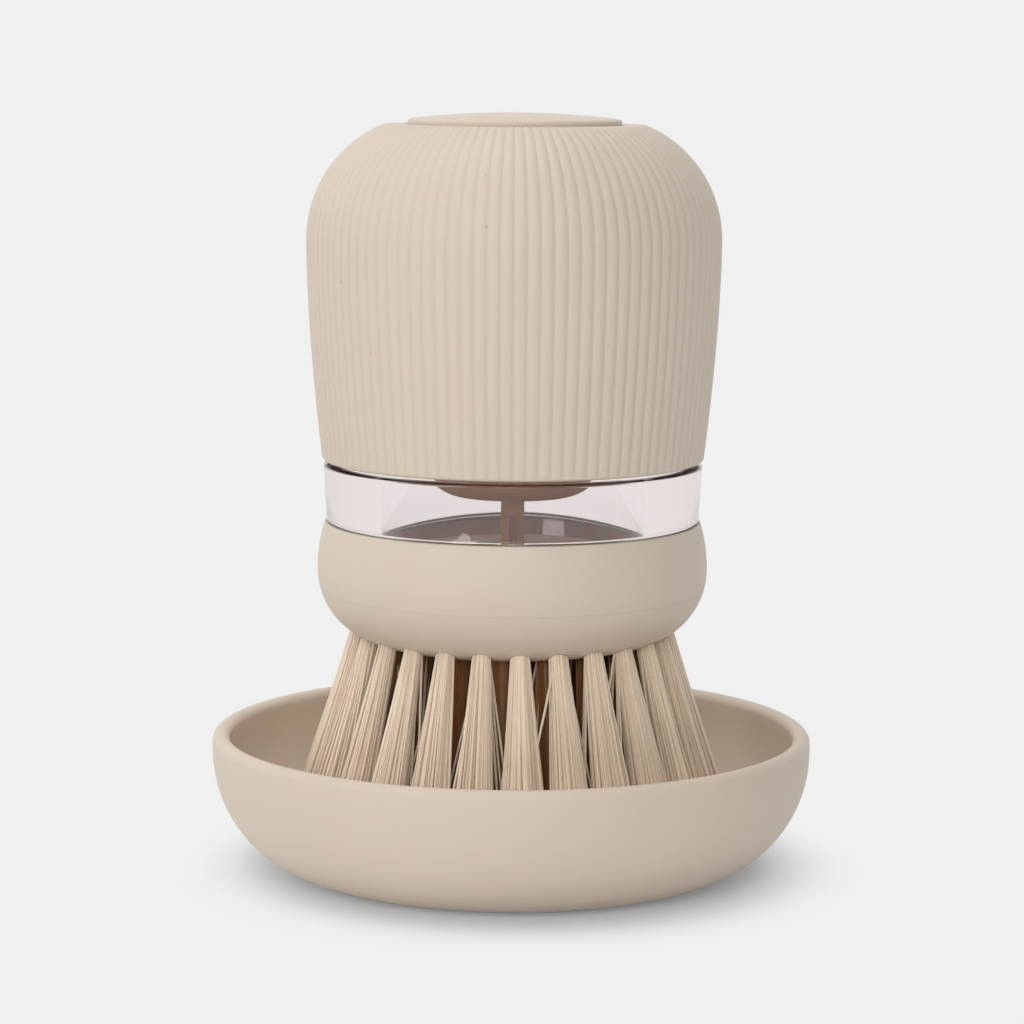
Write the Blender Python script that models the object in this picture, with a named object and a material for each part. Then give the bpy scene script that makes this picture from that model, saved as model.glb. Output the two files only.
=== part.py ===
"""A palm-held dish brush that dispenses soap, standing in its storage dish.

Everything is turned about the Z axis. The dish stands on Z = 0. The brush's own datum is
the flat underside of its head, and every piece of the brush is measured up from there.
"""
from math import asin, cos, degrees, hypot, pi, radians, sin, sqrt, tan

import bmesh
import bpy

# General fits and fineness
CLEARANCE = 0.0003
OVERRUN = 0.002
MERGE_DISTANCE = 0.0000001
SHARP_ANGLE = radians(40)
LARGE_STEPS = 48
BODY_STEPS = 32
SMALL_STEPS = 16
STEM_STEPS = 16
DISH_CURVE_STEPS = 6
DISH_RIM_STEPS = 4
HEAD_SKIN_STEPS = 3
BACKING_STEPS = 2
FLARE_STEPS = 3
WELL_STEPS = 4
WELL_INSIDE_STEPS = 2
SHOULDER_STEPS = 5
CEILING_STEPS = 3

# Storage dish
DISH_RADIUS = 0.0450
DISH_HEIGHT = 0.0208
DISH_WALL = 0.0026
DISH_FOOT_RADIUS = 0.0284
DISH_BELLY_SHARE = 0.8702

# Brush head, its seam and the socket for the reservoir's neck
HEAD_SHARE = 0.9474
HEAD_TOP_SHARE = 0.9118
HEAD_UNDER_ROUND_SHARE = 0.3733
HEAD_BELLY_SHARE = 0.6044
HEAD_SEAM_SHARE = 0.4451
HEAD_TOP_ROUND = 0.0004
COLLAR_WEB = 0.0016
FLOOR_DROP = 0.0014
FLOOR_THICKNESS = 0.0020
SOCKET_DEPTH = 0.0066
HUB_WALL = 0.0016
SPIGOT_WALL = 0.0018
PLATE_FLOOR = 0.0023
PLATE_BOSS_WALL = 0.0017

# Bristle rows and the slices of backing that carry them
BACKING_DEPTH = 0.0039
BACKING_SHARE = 0.8870
OUTER_BACKING_SHARE = 0.1699
MIDDLE_BACKING_SHARE = 0.2432
BRISTLE_LENGTH = 0.0300
OUTER_ROW_SHARE = 0.7808
MIDDLE_ROW_SHARE = 0.6164
INNER_ROW_SHARE = 0.3493
OUTER_TUFTS = 26
MIDDLE_TUFTS = 18
INNER_TUFTS = 10
OUTER_SLANT = radians(15.5)
MIDDLE_SLANT = radians(9)
INNER_SLANT = radians(4)
OUTER_STRANDS = 7
MIDDLE_STRANDS = 4
INNER_STRANDS = 5
FIRST_TUFT_ANGLE = radians(-87)
TUFT_ROOT_RADIUS = 0.0009
TUFT_TIP_RADIUS = 0.0027
STRAND_RADIUS = 0.0004
STRAND_SIDES = 3
STRAND_ROOT_DEPTH = 0.0008

# Soap outlet under the reservoir floor
OUTLET_BORE = 0.0021
OUTLET_WALL = 0.0012
OUTLET_CHAMBER_RADIUS = 0.0026
OUTLET_CHAMBER_DEPTH = 0.0028
OUTLET_TIP_DROP = 0.0012
OUTLET_FLANGE_RADIUS = 0.0062
OUTLET_FLANGE = 0.0012
OUTLET_TOP_RISE = 0.0026
OUTLET_RING_SECTION = 0.0014
OUTLET_RING_SIDES = 6
SEAT_WIDTH = 0.00255
SEAT_HEIGHT = 0.0021

# Clear reservoir, with its thick window band, neck and inner liner
WINDOW_SHARE = 0.9040
WINDOW_TOP_SHARE = 0.9182
WINDOW_HEIGHT = 0.0086
WINDOW_BORE_SHARE = 0.6327
WINDOW_CHAMFER = 0.0004
NECK_SHARE = 0.8112
LINER_WALL = 0.0021
LINER_HEIGHT_SHARE = 0.6036
LINER_FLARE_START = 0.0020
LINER_FLARE = 0.0070
GASKET_THICKNESS = 0.0012

# Ribbed grip cover
COVER_RADIUS = 0.03082
COVER_FOOT_SHARE = 0.9237
COVER_HEIGHT = 0.0497
COVER_SHOULDER_SHARE = 0.5977
COVER_TOP_SHARE = 0.6311
COVER_FOOT_ROUND = 0.0006
COVER_FOOT_WALL = 0.0016
COVER_TOP_WALL = 0.0022
COVER_TAPER_POWER = 1.7
SIDE_ROW_SHARE = 0.45
RIB_COUNT = 100
RIB_DEPTH = 0.0004
CEILING_ROUND_SHARE = 0.2563
CEILING_DEPTH_SHARE = 0.6732

# Inner housing with the well that hangs into the reservoir
WELL_SHARE = 0.4770
WELL_WALL = 0.0018
WELL_ROUND_SHARE = 0.4966
WELL_FLOOR = 0.0034
WELL_DROP = 0.0047
FLANGE_THICKNESS = 0.0018
TUBE_WALL = 0.0018
LEDGE_DROP = 0.0071
SEAL_RECESS_FLOOR = 0.0012
SEAL_WIDTH = 0.00225
SEAL_HEIGHT = 0.0016
SEAL_CAP_RADIUS = 0.0066
SEAL_CAP_THICKNESS = 0.0012

# Push button, stem, spring and its stops
BUTTON_SHARE = 0.5143
BUTTON_PROUD = 0.0008
BUTTON_DOME = 0.00095
DOME_RADIUS_SHARES = (1.0, 0.6, 0.0)
BUTTON_EDGE_ROUND = 0.0004
BUTTON_THICKNESS = 0.0028
BUTTON_RIM_WALL = 0.00165
BUTTON_RIM_DEPTH = 0.0050
SKIRT_SHARE = 0.3634
SKIRT_WALL = 0.0016
SKIRT_FLANGE = 0.0014
BOSS_RADIUS = 0.0042
BOSS_DEPTH = 0.0096
RETAINER_THICKNESS = 0.0014
STEM_RADIUS = 0.00175
STEM_TIP_BELOW_SEAT = 0.0008
FLUTE_COUNT = 4
FLUTE_WIDTH = 0.0009
FLUTE_DEPTH = 0.0006
FLUTE_LENGTH = 0.0032
CLIP_GROOVE_DEPTH = 0.0005
CLIP_RADIUS = 0.0040
CLIP_THICKNESS = 0.0008
CLIP_MOUTH = 0.0026
COLLAR_RADIUS = 0.0056
COLLAR_THICKNESS = 0.0011
SPRING_RADIUS = 0.0045
SPRING_WIRE = 0.0008
SPRING_LENGTH = 0.0194
SPRING_TURNS = 7
SPRING_POINTS_PER_TURN = 8

# Main sizes that follow from the grip's radius, the dish's height and the stack of pieces
DISH_BELLY_HEIGHT = DISH_HEIGHT * DISH_BELLY_SHARE
COVER_FOOT_RADIUS = COVER_RADIUS * COVER_FOOT_SHARE
COVER_SHOULDER_RADIUS = COVER_RADIUS * COVER_SHOULDER_SHARE
COVER_TOP_RADIUS = COVER_RADIUS * COVER_TOP_SHARE
CEILING_ROUND = COVER_RADIUS * CEILING_ROUND_SHARE
CEILING_DEPTH = COVER_SHOULDER_RADIUS * CEILING_DEPTH_SHARE
WINDOW_RADIUS = COVER_RADIUS * WINDOW_SHARE
WINDOW_TOP_RADIUS = COVER_RADIUS * WINDOW_TOP_SHARE
WINDOW_BORE = COVER_RADIUS * WINDOW_BORE_SHARE
NECK_RADIUS = COVER_RADIUS * NECK_SHARE
LINER_HEIGHT = COVER_HEIGHT * LINER_HEIGHT_SHARE
WELL_RADIUS = COVER_RADIUS * WELL_SHARE
WELL_ROUND = WELL_RADIUS * WELL_ROUND_SHARE
BUTTON_RADIUS = COVER_RADIUS * BUTTON_SHARE
SKIRT_RADIUS = COVER_RADIUS * SKIRT_SHARE
HEAD_RADIUS = COVER_RADIUS * HEAD_SHARE
HEAD_TOP_RADIUS = COVER_RADIUS * HEAD_TOP_SHARE
HEAD_UNDER_ROUND = HEAD_RADIUS * HEAD_UNDER_ROUND_SHARE
BACKING_RADIUS = HEAD_RADIUS * BACKING_SHARE
OUTER_BACKING_WIDTH = BACKING_RADIUS * OUTER_BACKING_SHARE
MIDDLE_BACKING_WIDTH = BACKING_RADIUS * MIDDLE_BACKING_SHARE
OUTER_ROW_RADIUS = HEAD_RADIUS * OUTER_ROW_SHARE
MIDDLE_ROW_RADIUS = HEAD_RADIUS * MIDDLE_ROW_SHARE
INNER_ROW_RADIUS = HEAD_RADIUS * INNER_ROW_SHARE

# Heights above the brush's datum, the underside of the head
PLATE_CEILING = BACKING_DEPTH + CLEARANCE
PLATE_TOP = PLATE_CEILING + PLATE_FLOOR
FLANGE_FOOT = PLATE_TOP + CLEARANCE
FLANGE_HEAD = FLANGE_FOOT + OUTLET_FLANGE
WEB_UNDERSIDE = FLANGE_HEAD + OUTLET_RING_SECTION + 2 * CLEARANCE
SOCKET_FLOOR = WEB_UNDERSIDE + COLLAR_WEB
HEAD_HEIGHT = SOCKET_FLOOR + SOCKET_DEPTH
HEAD_BELLY_HEIGHT = HEAD_HEIGHT * HEAD_BELLY_SHARE
HEAD_SEAM_HEIGHT = HEAD_HEIGHT * HEAD_SEAM_SHARE
RESERVOIR_FLOOR = HEAD_HEIGHT - FLOOR_DROP
SEAT_BASE = RESERVOIR_FLOOR - CLEARANCE - SEAT_HEIGHT
OUTLET_TOP = WEB_UNDERSIDE + OUTLET_TOP_RISE
NECK_GASKET_BASE = SOCKET_FLOOR + CLEARANCE
NECK_BASE = NECK_GASKET_BASE + GASKET_THICKNESS + CLEARANCE
WINDOW_BASE = HEAD_HEIGHT + CLEARANCE
WINDOW_TOP = WINDOW_BASE + WINDOW_HEIGHT
COVER_BASE = WINDOW_TOP + CLEARANCE
COVER_TOP = COVER_BASE + COVER_HEIGHT
COVER_CEILING = COVER_TOP - COVER_TOP_WALL
LINER_TOP = WINDOW_TOP + LINER_HEIGHT
LID_GASKET_BASE = LINER_TOP + CLEARANCE
FLANGE_BASE = LID_GASKET_BASE + GASKET_THICKNESS + CLEARANCE
FLANGE_TOP = FLANGE_BASE + FLANGE_THICKNESS
WELL_BASE = COVER_BASE - WELL_DROP
WELL_FLOOR_TOP = WELL_BASE + WELL_FLOOR
TUBE_TOP = COVER_CEILING - CLEARANCE
LEDGE = TUBE_TOP - LEDGE_DROP
SEAL_BASE = WELL_BASE + SEAL_RECESS_FLOOR + CLEARANCE
SEAL_CAP_BASE = WELL_FLOOR_TOP + CLEARANCE
SPRING_BASE = SEAL_CAP_BASE + SEAL_CAP_THICKNESS + CLEARANCE
SPRING_TOP = SPRING_BASE + SPRING_LENGTH
COLLAR_BASE = SPRING_TOP + CLEARANCE
CLIP_BASE = COLLAR_BASE + COLLAR_THICKNESS + CLEARANCE
RETAINER_BASE = LEDGE + CLEARANCE
BUTTON_EDGE = COVER_TOP + BUTTON_PROUD
BUTTON_UNDERSIDE = BUTTON_EDGE - BUTTON_THICKNESS
STEM_BASE = SEAT_BASE - STEM_TIP_BELOW_SEAT
STEM_TOP = BUTTON_UNDERSIDE - 2 * CLEARANCE

# Radii that follow from the pieces next to them
STEM_HOLE = STEM_RADIUS + CLEARANCE
OUTLET_RADIUS = OUTLET_BORE + OUTLET_WALL
HUB_BORE = OUTLET_RADIUS + CLEARANCE
SEAT_RADIUS = STEM_HOLE + SEAT_WIDTH
SEAT_RECESS_RADIUS = SEAT_RADIUS + CLEARANCE
HUB_RADIUS = SEAT_RECESS_RADIUS + HUB_WALL
SOCKET_RADIUS = NECK_RADIUS + CLEARANCE
FLOOR_RADIUS = WINDOW_BORE - CLEARANCE
PLATE_BOSS_RADIUS = HUB_BORE + PLATE_BOSS_WALL
PLATE_RECESS_RADIUS = BACKING_RADIUS + CLEARANCE
SPIGOT_RADIUS = PLATE_RECESS_RADIUS
SKIRT_SEAT_RADIUS = SPIGOT_RADIUS + CLEARANCE
COVER_BORE = COVER_FOOT_RADIUS - COVER_FOOT_WALL
LINER_RADIUS = COVER_BORE - CLEARANCE
LINER_BORE = LINER_RADIUS - LINER_WALL
FLANGE_RADIUS = COVER_BORE - CLEARANCE
WELL_BORE = WELL_RADIUS - WELL_WALL
BUTTON_OPENING = BUTTON_RADIUS + CLEARANCE
TUBE_BORE = BUTTON_OPENING + CLEARANCE
TUBE_RADIUS = TUBE_BORE + TUBE_WALL
SEAL_RADIUS = STEM_HOLE + SEAL_WIDTH
SEAL_RECESS_RADIUS = SEAL_RADIUS + CLEARANCE
BACKING_BORE = PLATE_BOSS_RADIUS + CLEARANCE


def linear(hex_colour):
    """Turn an sRGB hex colour into linear red, green, blue and alpha."""
    channels = [int(hex_colour[index:index + 2], 16) / 255 for index in (1, 3, 5)]
    curve = [c / 12.92 if c <= 0.04045 else ((c + 0.055) / 1.055) ** 2.4 for c in channels]
    return (*curve, 1.0)


def make_finish(name, hex_colour, roughness, metallic=0.0, transmission=0.0):
    """Make a material from a plain colour and a surface roughness."""
    finish = bpy.data.materials.new(name)
    finish.use_nodes = True
    shader = finish.node_tree.nodes["Principled BSDF"]
    shader.inputs["Base Color"].default_value = linear(hex_colour)
    shader.inputs["Roughness"].default_value = roughness
    shader.inputs["Metallic"].default_value = metallic
    shader.inputs["Transmission Weight"].default_value = transmission
    return finish


def add_frame(name, parent=None, height=0.0):
    """Add an empty on the common axis; the pieces of one moving body hang from it."""
    frame = bpy.data.objects.new(name, None)
    bpy.context.collection.objects.link(frame)
    frame.parent = parent
    frame.location = (0, 0, height)
    return frame


def add_piece(name, shape, finish, frame):
    """Turn a bmesh into a named object that hangs from a body's frame."""
    bmesh.ops.recalc_face_normals(shape, faces=shape.faces)
    mesh = bpy.data.meshes.new(name)
    shape.to_mesh(mesh)
    shape.free()
    mesh.shade_smooth()
    mesh.set_sharp_from_angle(angle=SHARP_ANGLE)
    mesh.materials.append(finish)
    piece = bpy.data.objects.new(name, mesh)
    bpy.context.collection.objects.link(piece)
    piece.parent = frame
    return piece


def arc(centre, radii, start, end, count):
    """Give count + 1 points of an ellipse's arc; angles in degrees from the outward radius."""
    turns = [radians(start + (end - start) * index / count) for index in range(count + 1)]
    return [(centre[0] + radii[0] * cos(turn), centre[1] + radii[1] * sin(turn)) for turn in turns]


def turn_outline(outline, steps):
    """Spin an outline of (radius, height) points about the axis.

    An outline that starts and ends on the axis makes a solid; any other is closed into a ring.
    """
    shape = bmesh.new()
    points = [shape.verts.new((radius, 0, height)) for radius, height in outline]
    edges = [shape.edges.new(pair) for pair in zip(points, points[1:])]
    if outline[0][0] > 0 or outline[-1][0] > 0:
        edges.append(shape.edges.new((points[-1], points[0])))
    bmesh.ops.spin(shape, geom=points + edges, cent=(0, 0, 0), axis=(0, 0, 1), angle=2 * pi, steps=steps)
    bmesh.ops.remove_doubles(shape, verts=shape.verts, dist=MERGE_DISTANCE)
    return shape


def add_turned(name, outline, steps, finish, frame):
    """Add a turned piece."""
    return add_piece(name, turn_outline(outline, steps), finish, frame)


def band(inner, outer, base, height):
    """Give the outline of a plain square-cut ring."""
    return [(inner, base), (outer, base), (outer, base + height), (inner, base + height)]


def add_block(shape, low, high):
    """Add a closed box between two corners to a bmesh."""
    cube = bmesh.ops.create_cube(shape, size=1)
    for vert in cube["verts"]:
        for axis in range(3):
            vert.co[axis] = high[axis] if vert.co[axis] > 0 else low[axis]


def use_tool(piece, tool, operation):
    """Join or cut a piece with a hidden tool object."""
    tool.hide_render = True
    tool.display_type = "WIRE"
    step = piece.modifiers.new(tool.name, "BOOLEAN")
    step.operation = operation
    step.solver = "EXACT"
    step.object = tool


def dish_curve(foot_radius, foot_height, outer_radius, count):
    """Give the quarter ellipse that climbs from a foot circle to the belly of the dish."""
    centre = (foot_radius, DISH_BELLY_HEIGHT)
    return arc(centre, (outer_radius - foot_radius, DISH_BELLY_HEIGHT - foot_height), -90, 0, count)


def dish_inner_height(radius):
    """Give the height of the dish's inner surface at a radius."""
    reach = DISH_RADIUS - DISH_WALL - DISH_FOOT_RADIUS
    share = max(0.0, radius - DISH_FOOT_RADIUS) / reach
    return DISH_BELLY_HEIGHT - (DISH_BELLY_HEIGHT - DISH_WALL) * sqrt(1 - share ** 2)


def make_dish(finish, frame):
    """Make the storage dish: a flat foot, a round belly and a thick rolled rim."""
    rim_round = DISH_WALL / 2
    rim_centre = (DISH_RADIUS - rim_round, DISH_HEIGHT - rim_round)
    outline = [(0, 0)]
    outline += dish_curve(DISH_FOOT_RADIUS, 0, DISH_RADIUS, DISH_CURVE_STEPS)
    outline += arc(rim_centre, (rim_round, rim_round), 0, 180, DISH_RIM_STEPS)
    inside = dish_curve(DISH_FOOT_RADIUS, DISH_WALL, DISH_RADIUS - DISH_WALL, DISH_CURVE_STEPS)
    outline += inside[::-1]
    outline += [(0, DISH_WALL)]
    add_turned("storage_dish", outline, LARGE_STEPS, finish, frame)


def head_outer_radius(height):
    """Give the head's outer radius: an elliptic underside, then a gentle narrowing to the top."""
    if height < HEAD_BELLY_HEIGHT:
        share = (HEAD_BELLY_HEIGHT - height) / HEAD_BELLY_HEIGHT
        return HEAD_RADIUS - HEAD_UNDER_ROUND + HEAD_UNDER_ROUND * sqrt(1 - share ** 2)
    share = (height - HEAD_BELLY_HEIGHT) / (HEAD_HEIGHT - HEAD_BELLY_HEIGHT)
    return HEAD_RADIUS - (HEAD_RADIUS - HEAD_TOP_RADIUS) * share ** 2


def head_under_height(radius):
    """Give the height of the head's underside at a radius."""
    share = max(0.0, radius - HEAD_RADIUS + HEAD_UNDER_ROUND) / HEAD_UNDER_ROUND
    return HEAD_BELLY_HEIGHT * (1 - sqrt(1 - share ** 2))


def head_skin(start, end, count):
    """Give points of the head's outer surface between two heights."""
    heights = [start + (end - start) * index / count for index in range(count + 1)]
    return [(head_outer_radius(height), height) for height in heights]


def make_head_collar(finish, frame):
    """Make the upper shell of the head: the neck's socket, the reservoir floor and its hub."""
    seam = HEAD_SEAM_HEIGHT + CLEARANCE / 2
    pocket_top = RESERVOIR_FLOOR - FLOOR_THICKNESS
    pocket_radius = FLOOR_RADIUS - FLOOR_THICKNESS
    outline = [(HUB_BORE, WEB_UNDERSIDE), (HUB_RADIUS, WEB_UNDERSIDE)]
    outline += [(HUB_RADIUS, pocket_top), (pocket_radius, pocket_top), (pocket_radius, WEB_UNDERSIDE)]
    outline += [(SKIRT_SEAT_RADIUS, WEB_UNDERSIDE), (SKIRT_SEAT_RADIUS, seam)]
    outline += head_skin(seam, HEAD_HEIGHT - HEAD_TOP_ROUND, HEAD_SKIN_STEPS)
    outline += [(HEAD_TOP_RADIUS - HEAD_TOP_ROUND, HEAD_HEIGHT), (SOCKET_RADIUS, HEAD_HEIGHT)]
    outline += [(SOCKET_RADIUS, SOCKET_FLOOR), (FLOOR_RADIUS, SOCKET_FLOOR)]
    outline += [(FLOOR_RADIUS, RESERVOIR_FLOOR), (SEAT_RECESS_RADIUS, RESERVOIR_FLOOR)]
    outline += [(SEAT_RECESS_RADIUS, SEAT_BASE - CLEARANCE), (HUB_BORE, SEAT_BASE - CLEARANCE)]
    add_turned("head_collar", outline, BODY_STEPS, finish, frame)


def make_tuft_plate(finish, frame):
    """Make the lower shell of the head, recessed below for the backing slices."""
    seam = HEAD_SEAM_HEIGHT - CLEARANCE / 2
    spigot_top = WEB_UNDERSIDE - CLEARANCE
    spigot_bore = SPIGOT_RADIUS - SPIGOT_WALL
    lip = head_under_height(PLATE_RECESS_RADIUS)
    outline = [(HUB_BORE, 0), (PLATE_BOSS_RADIUS, 0), (PLATE_BOSS_RADIUS, PLATE_CEILING)]
    outline += [(PLATE_RECESS_RADIUS, PLATE_CEILING)]
    outline += head_skin(lip, seam, HEAD_SKIN_STEPS)
    outline += [(SPIGOT_RADIUS, seam), (SPIGOT_RADIUS, spigot_top), (spigot_bore, spigot_top)]
    outline += [(spigot_bore, PLATE_TOP), (HUB_BORE, PLATE_TOP)]
    add_turned("tuft_plate", outline, BODY_STEPS, finish, frame)


def backing_outline(inner, outer, count):
    """Give the section of one slice of backing, whose lower face follows the head's underside."""
    radii = [inner + (outer - inner) * index / count for index in range(count + 1)]
    under = [(radius, head_under_height(radius)) for radius in radii]
    return under + [(outer, BACKING_DEPTH), (inner, BACKING_DEPTH)]


def strand_line(row_radius, slant, offset):
    """Give the radial and sideways places of one strand at its root and at its trimmed tip."""
    tip_height = -BRISTLE_LENGTH
    root = row_radius + TUFT_ROOT_RADIUS * offset[0]
    root_height = head_under_height(root)
    drop = head_under_height(row_radius) - tip_height
    tip = row_radius + drop * tan(slant) + TUFT_TIP_RADIUS * offset[0]
    return (root, TUFT_ROOT_RADIUS * offset[1], root_height), (tip, TUFT_TIP_RADIUS * offset[1], tip_height)


def tuft_offsets(strands):
    """Give a tuft's strands as shares of its radius: one in the middle, the rest round it."""
    ring = [2 * pi * index / (strands - 1) for index in range(strands - 1)]
    return [(0.0, 0.0)] + [(cos(turn), sin(turn)) for turn in ring]


def add_strand(shape, root, tip, tuft_angle):
    """Add one closed strand, sunk a little into its backing and cut level at its tip."""
    stretch = (root[2] + STRAND_ROOT_DEPTH - tip[2]) / (root[2] - tip[2])
    top = [tip[axis] + (root[axis] - tip[axis]) * stretch for axis in range(3)]
    rings = []
    for centre in (tip, top):
        ring = []
        for side in range(STRAND_SIDES):
            turn = 2 * pi * side / STRAND_SIDES
            out = centre[0] + STRAND_RADIUS * cos(turn)
            across = centre[1] + STRAND_RADIUS * sin(turn)
            x = out * cos(tuft_angle) - across * sin(tuft_angle)
            y = out * sin(tuft_angle) + across * cos(tuft_angle)
            ring.append(shape.verts.new((x, y, centre[2])))
        rings.append(ring)
    low, high = rings
    shape.faces.new(low[::-1])
    shape.faces.new(high)
    for side in range(STRAND_SIDES):
        after = (side + 1) % STRAND_SIDES
        shape.faces.new((low[side], low[after], high[after], high[side]))


def make_bristle_row(name, edges, row_radius, tufts, strands, slant, finish, frame):
    """Make one ring of tufts fused to its slice of backing."""
    backing = add_turned(name, backing_outline(*edges, BACKING_STEPS), BODY_STEPS, finish, frame)
    bundle = bmesh.new()
    for tuft in range(tufts):
        angle = FIRST_TUFT_ANGLE + 2 * pi * tuft / tufts
        for offset in tuft_offsets(strands):
            add_strand(bundle, *strand_line(row_radius, slant, offset), angle)
    tool = add_piece(name + "_strands", bundle, finish, frame)
    use_tool(backing, tool, "UNION")


def make_bristles(finish, frame):
    """Make the three rings of tufts."""
    outer_edge = BACKING_RADIUS - OUTER_BACKING_WIDTH
    middle_outer = outer_edge - CLEARANCE
    middle_inner = middle_outer - MIDDLE_BACKING_WIDTH
    inner_outer = middle_inner - CLEARANCE
    make_bristle_row("outer_bristles", (outer_edge, BACKING_RADIUS), OUTER_ROW_RADIUS,
                     OUTER_TUFTS, OUTER_STRANDS, OUTER_SLANT, finish, frame)
    make_bristle_row("middle_bristles", (middle_inner, middle_outer), MIDDLE_ROW_RADIUS,
                     MIDDLE_TUFTS, MIDDLE_STRANDS, MIDDLE_SLANT, finish, frame)
    make_bristle_row("inner_bristles", (BACKING_BORE, inner_outer), INNER_ROW_RADIUS,
                     INNER_TUFTS, INNER_STRANDS, INNER_SLANT, finish, frame)


def make_outlet(plastic, rubber, frame):
    """Make the soap outlet: its tube, the ring that seals it and the seat round the stem."""
    chamber_base = OUTLET_TOP - OUTLET_CHAMBER_DEPTH
    outline = [(OUTLET_BORE, -OUTLET_TIP_DROP), (OUTLET_RADIUS, -OUTLET_TIP_DROP)]
    outline += [(OUTLET_RADIUS, FLANGE_FOOT), (OUTLET_FLANGE_RADIUS, FLANGE_FOOT)]
    outline += [(OUTLET_FLANGE_RADIUS, FLANGE_HEAD), (OUTLET_RADIUS, FLANGE_HEAD)]
    outline += [(OUTLET_RADIUS, OUTLET_TOP), (OUTLET_CHAMBER_RADIUS, OUTLET_TOP)]
    outline += [(OUTLET_CHAMBER_RADIUS, chamber_base)]
    outline += [(OUTLET_BORE, chamber_base - OUTLET_CHAMBER_RADIUS + OUTLET_BORE)]
    add_turned("outlet_tube", outline, SMALL_STEPS, plastic, frame)
    ring_height = (FLANGE_HEAD + WEB_UNDERSIDE) / 2
    ring_round = OUTLET_RING_SECTION / 2
    ring_centre = OUTLET_RADIUS + CLEARANCE + ring_round
    section = arc((ring_centre, ring_height), (ring_round, ring_round), 0, 360, OUTLET_RING_SIDES)[:-1]
    add_turned("outlet_o_ring", section, SMALL_STEPS, rubber, frame)
    seat = band(STEM_HOLE, SEAT_RADIUS, SEAT_BASE, SEAT_HEIGHT)
    add_turned("valve_seat", seat, SMALL_STEPS, rubber, frame)


def make_neck_gasket(finish, frame):
    """Make the flat gasket that the reservoir's neck presses on."""
    outline = band(WINDOW_BORE, NECK_RADIUS, NECK_GASKET_BASE, GASKET_THICKNESS)
    add_turned("neck_gasket", outline, BODY_STEPS, finish, frame)


def make_reservoir(finish, frame):
    """Make the clear reservoir: neck, thick window band and thin liner inside the cover."""
    flare_base = WINDOW_TOP + LINER_FLARE_START
    flare_width = LINER_BORE - WINDOW_BORE
    outline = [(WINDOW_BORE, NECK_BASE), (NECK_RADIUS, NECK_BASE), (NECK_RADIUS, WINDOW_BASE)]
    outline += [(WINDOW_RADIUS - WINDOW_CHAMFER, WINDOW_BASE)]
    outline += [(WINDOW_RADIUS, WINDOW_BASE + WINDOW_CHAMFER)]
    outline += [(WINDOW_TOP_RADIUS, WINDOW_TOP), (LINER_RADIUS, WINDOW_TOP), (LINER_RADIUS, LINER_TOP)]
    outline += [(LINER_BORE, LINER_TOP)]
    flare_centre = (WINDOW_BORE, flare_base + LINER_FLARE)
    outline += arc(flare_centre, (flare_width, LINER_FLARE), 0, -90, FLARE_STEPS)
    add_turned("clear_reservoir", outline, LARGE_STEPS, finish, frame)


def make_lid_gasket(finish, frame):
    """Make the gasket between the reservoir's rim and the housing's flange."""
    outline = band(LINER_BORE, LINER_RADIUS, LID_GASKET_BASE, GASKET_THICKNESS)
    add_turned("lid_gasket", outline, BODY_STEPS, finish, frame)


def make_housing(finish, frame):
    """Make the inner housing: the round-bottomed well, its flange and the button's guide tube."""
    round_centre = (WELL_RADIUS - WELL_ROUND, WELL_BASE + WELL_ROUND)
    inner_round = WELL_ROUND - WELL_WALL
    inner_centre = (WELL_BORE - inner_round, WELL_FLOOR_TOP + inner_round)
    recess_floor = SEAL_BASE - CLEARANCE
    outline = [(STEM_HOLE, WELL_BASE)]
    outline += arc(round_centre, (WELL_ROUND, WELL_ROUND), -90, 0, WELL_STEPS)
    outline += [(WELL_RADIUS, FLANGE_BASE), (FLANGE_RADIUS, FLANGE_BASE), (FLANGE_RADIUS, FLANGE_TOP)]
    outline += [(TUBE_RADIUS, FLANGE_TOP), (TUBE_RADIUS, TUBE_TOP), (TUBE_BORE, TUBE_TOP)]
    outline += [(TUBE_BORE, LEDGE), (WELL_BORE, LEDGE)]
    outline += arc(inner_centre, (inner_round, inner_round), 0, -90, WELL_INSIDE_STEPS)
    outline += [(SEAL_RECESS_RADIUS, WELL_FLOOR_TOP), (SEAL_RECESS_RADIUS, recess_floor)]
    outline += [(STEM_HOLE, recess_floor)]
    add_turned("inner_housing", outline, BODY_STEPS, finish, frame)


def make_stem_seal(rubber, plastic, frame):
    """Make the wiper seal in the well's floor and the cap that holds it down."""
    seal = band(STEM_HOLE, SEAL_RADIUS, SEAL_BASE, SEAL_HEIGHT)
    add_turned("stem_seal", seal, SMALL_STEPS, rubber, frame)
    cap = band(STEM_HOLE, SEAL_CAP_RADIUS, SEAL_CAP_BASE, SEAL_CAP_THICKNESS)
    add_turned("seal_cap", cap, SMALL_STEPS, plastic, frame)


def make_button_retainer(finish, frame):
    """Make the ring on the housing's ledge that stops the button from rising."""
    outline = band(SKIRT_RADIUS + CLEARANCE, TUBE_BORE - CLEARANCE, RETAINER_BASE, RETAINER_THICKNESS)
    add_turned("button_retainer", outline, BODY_STEPS, finish, frame)


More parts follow.
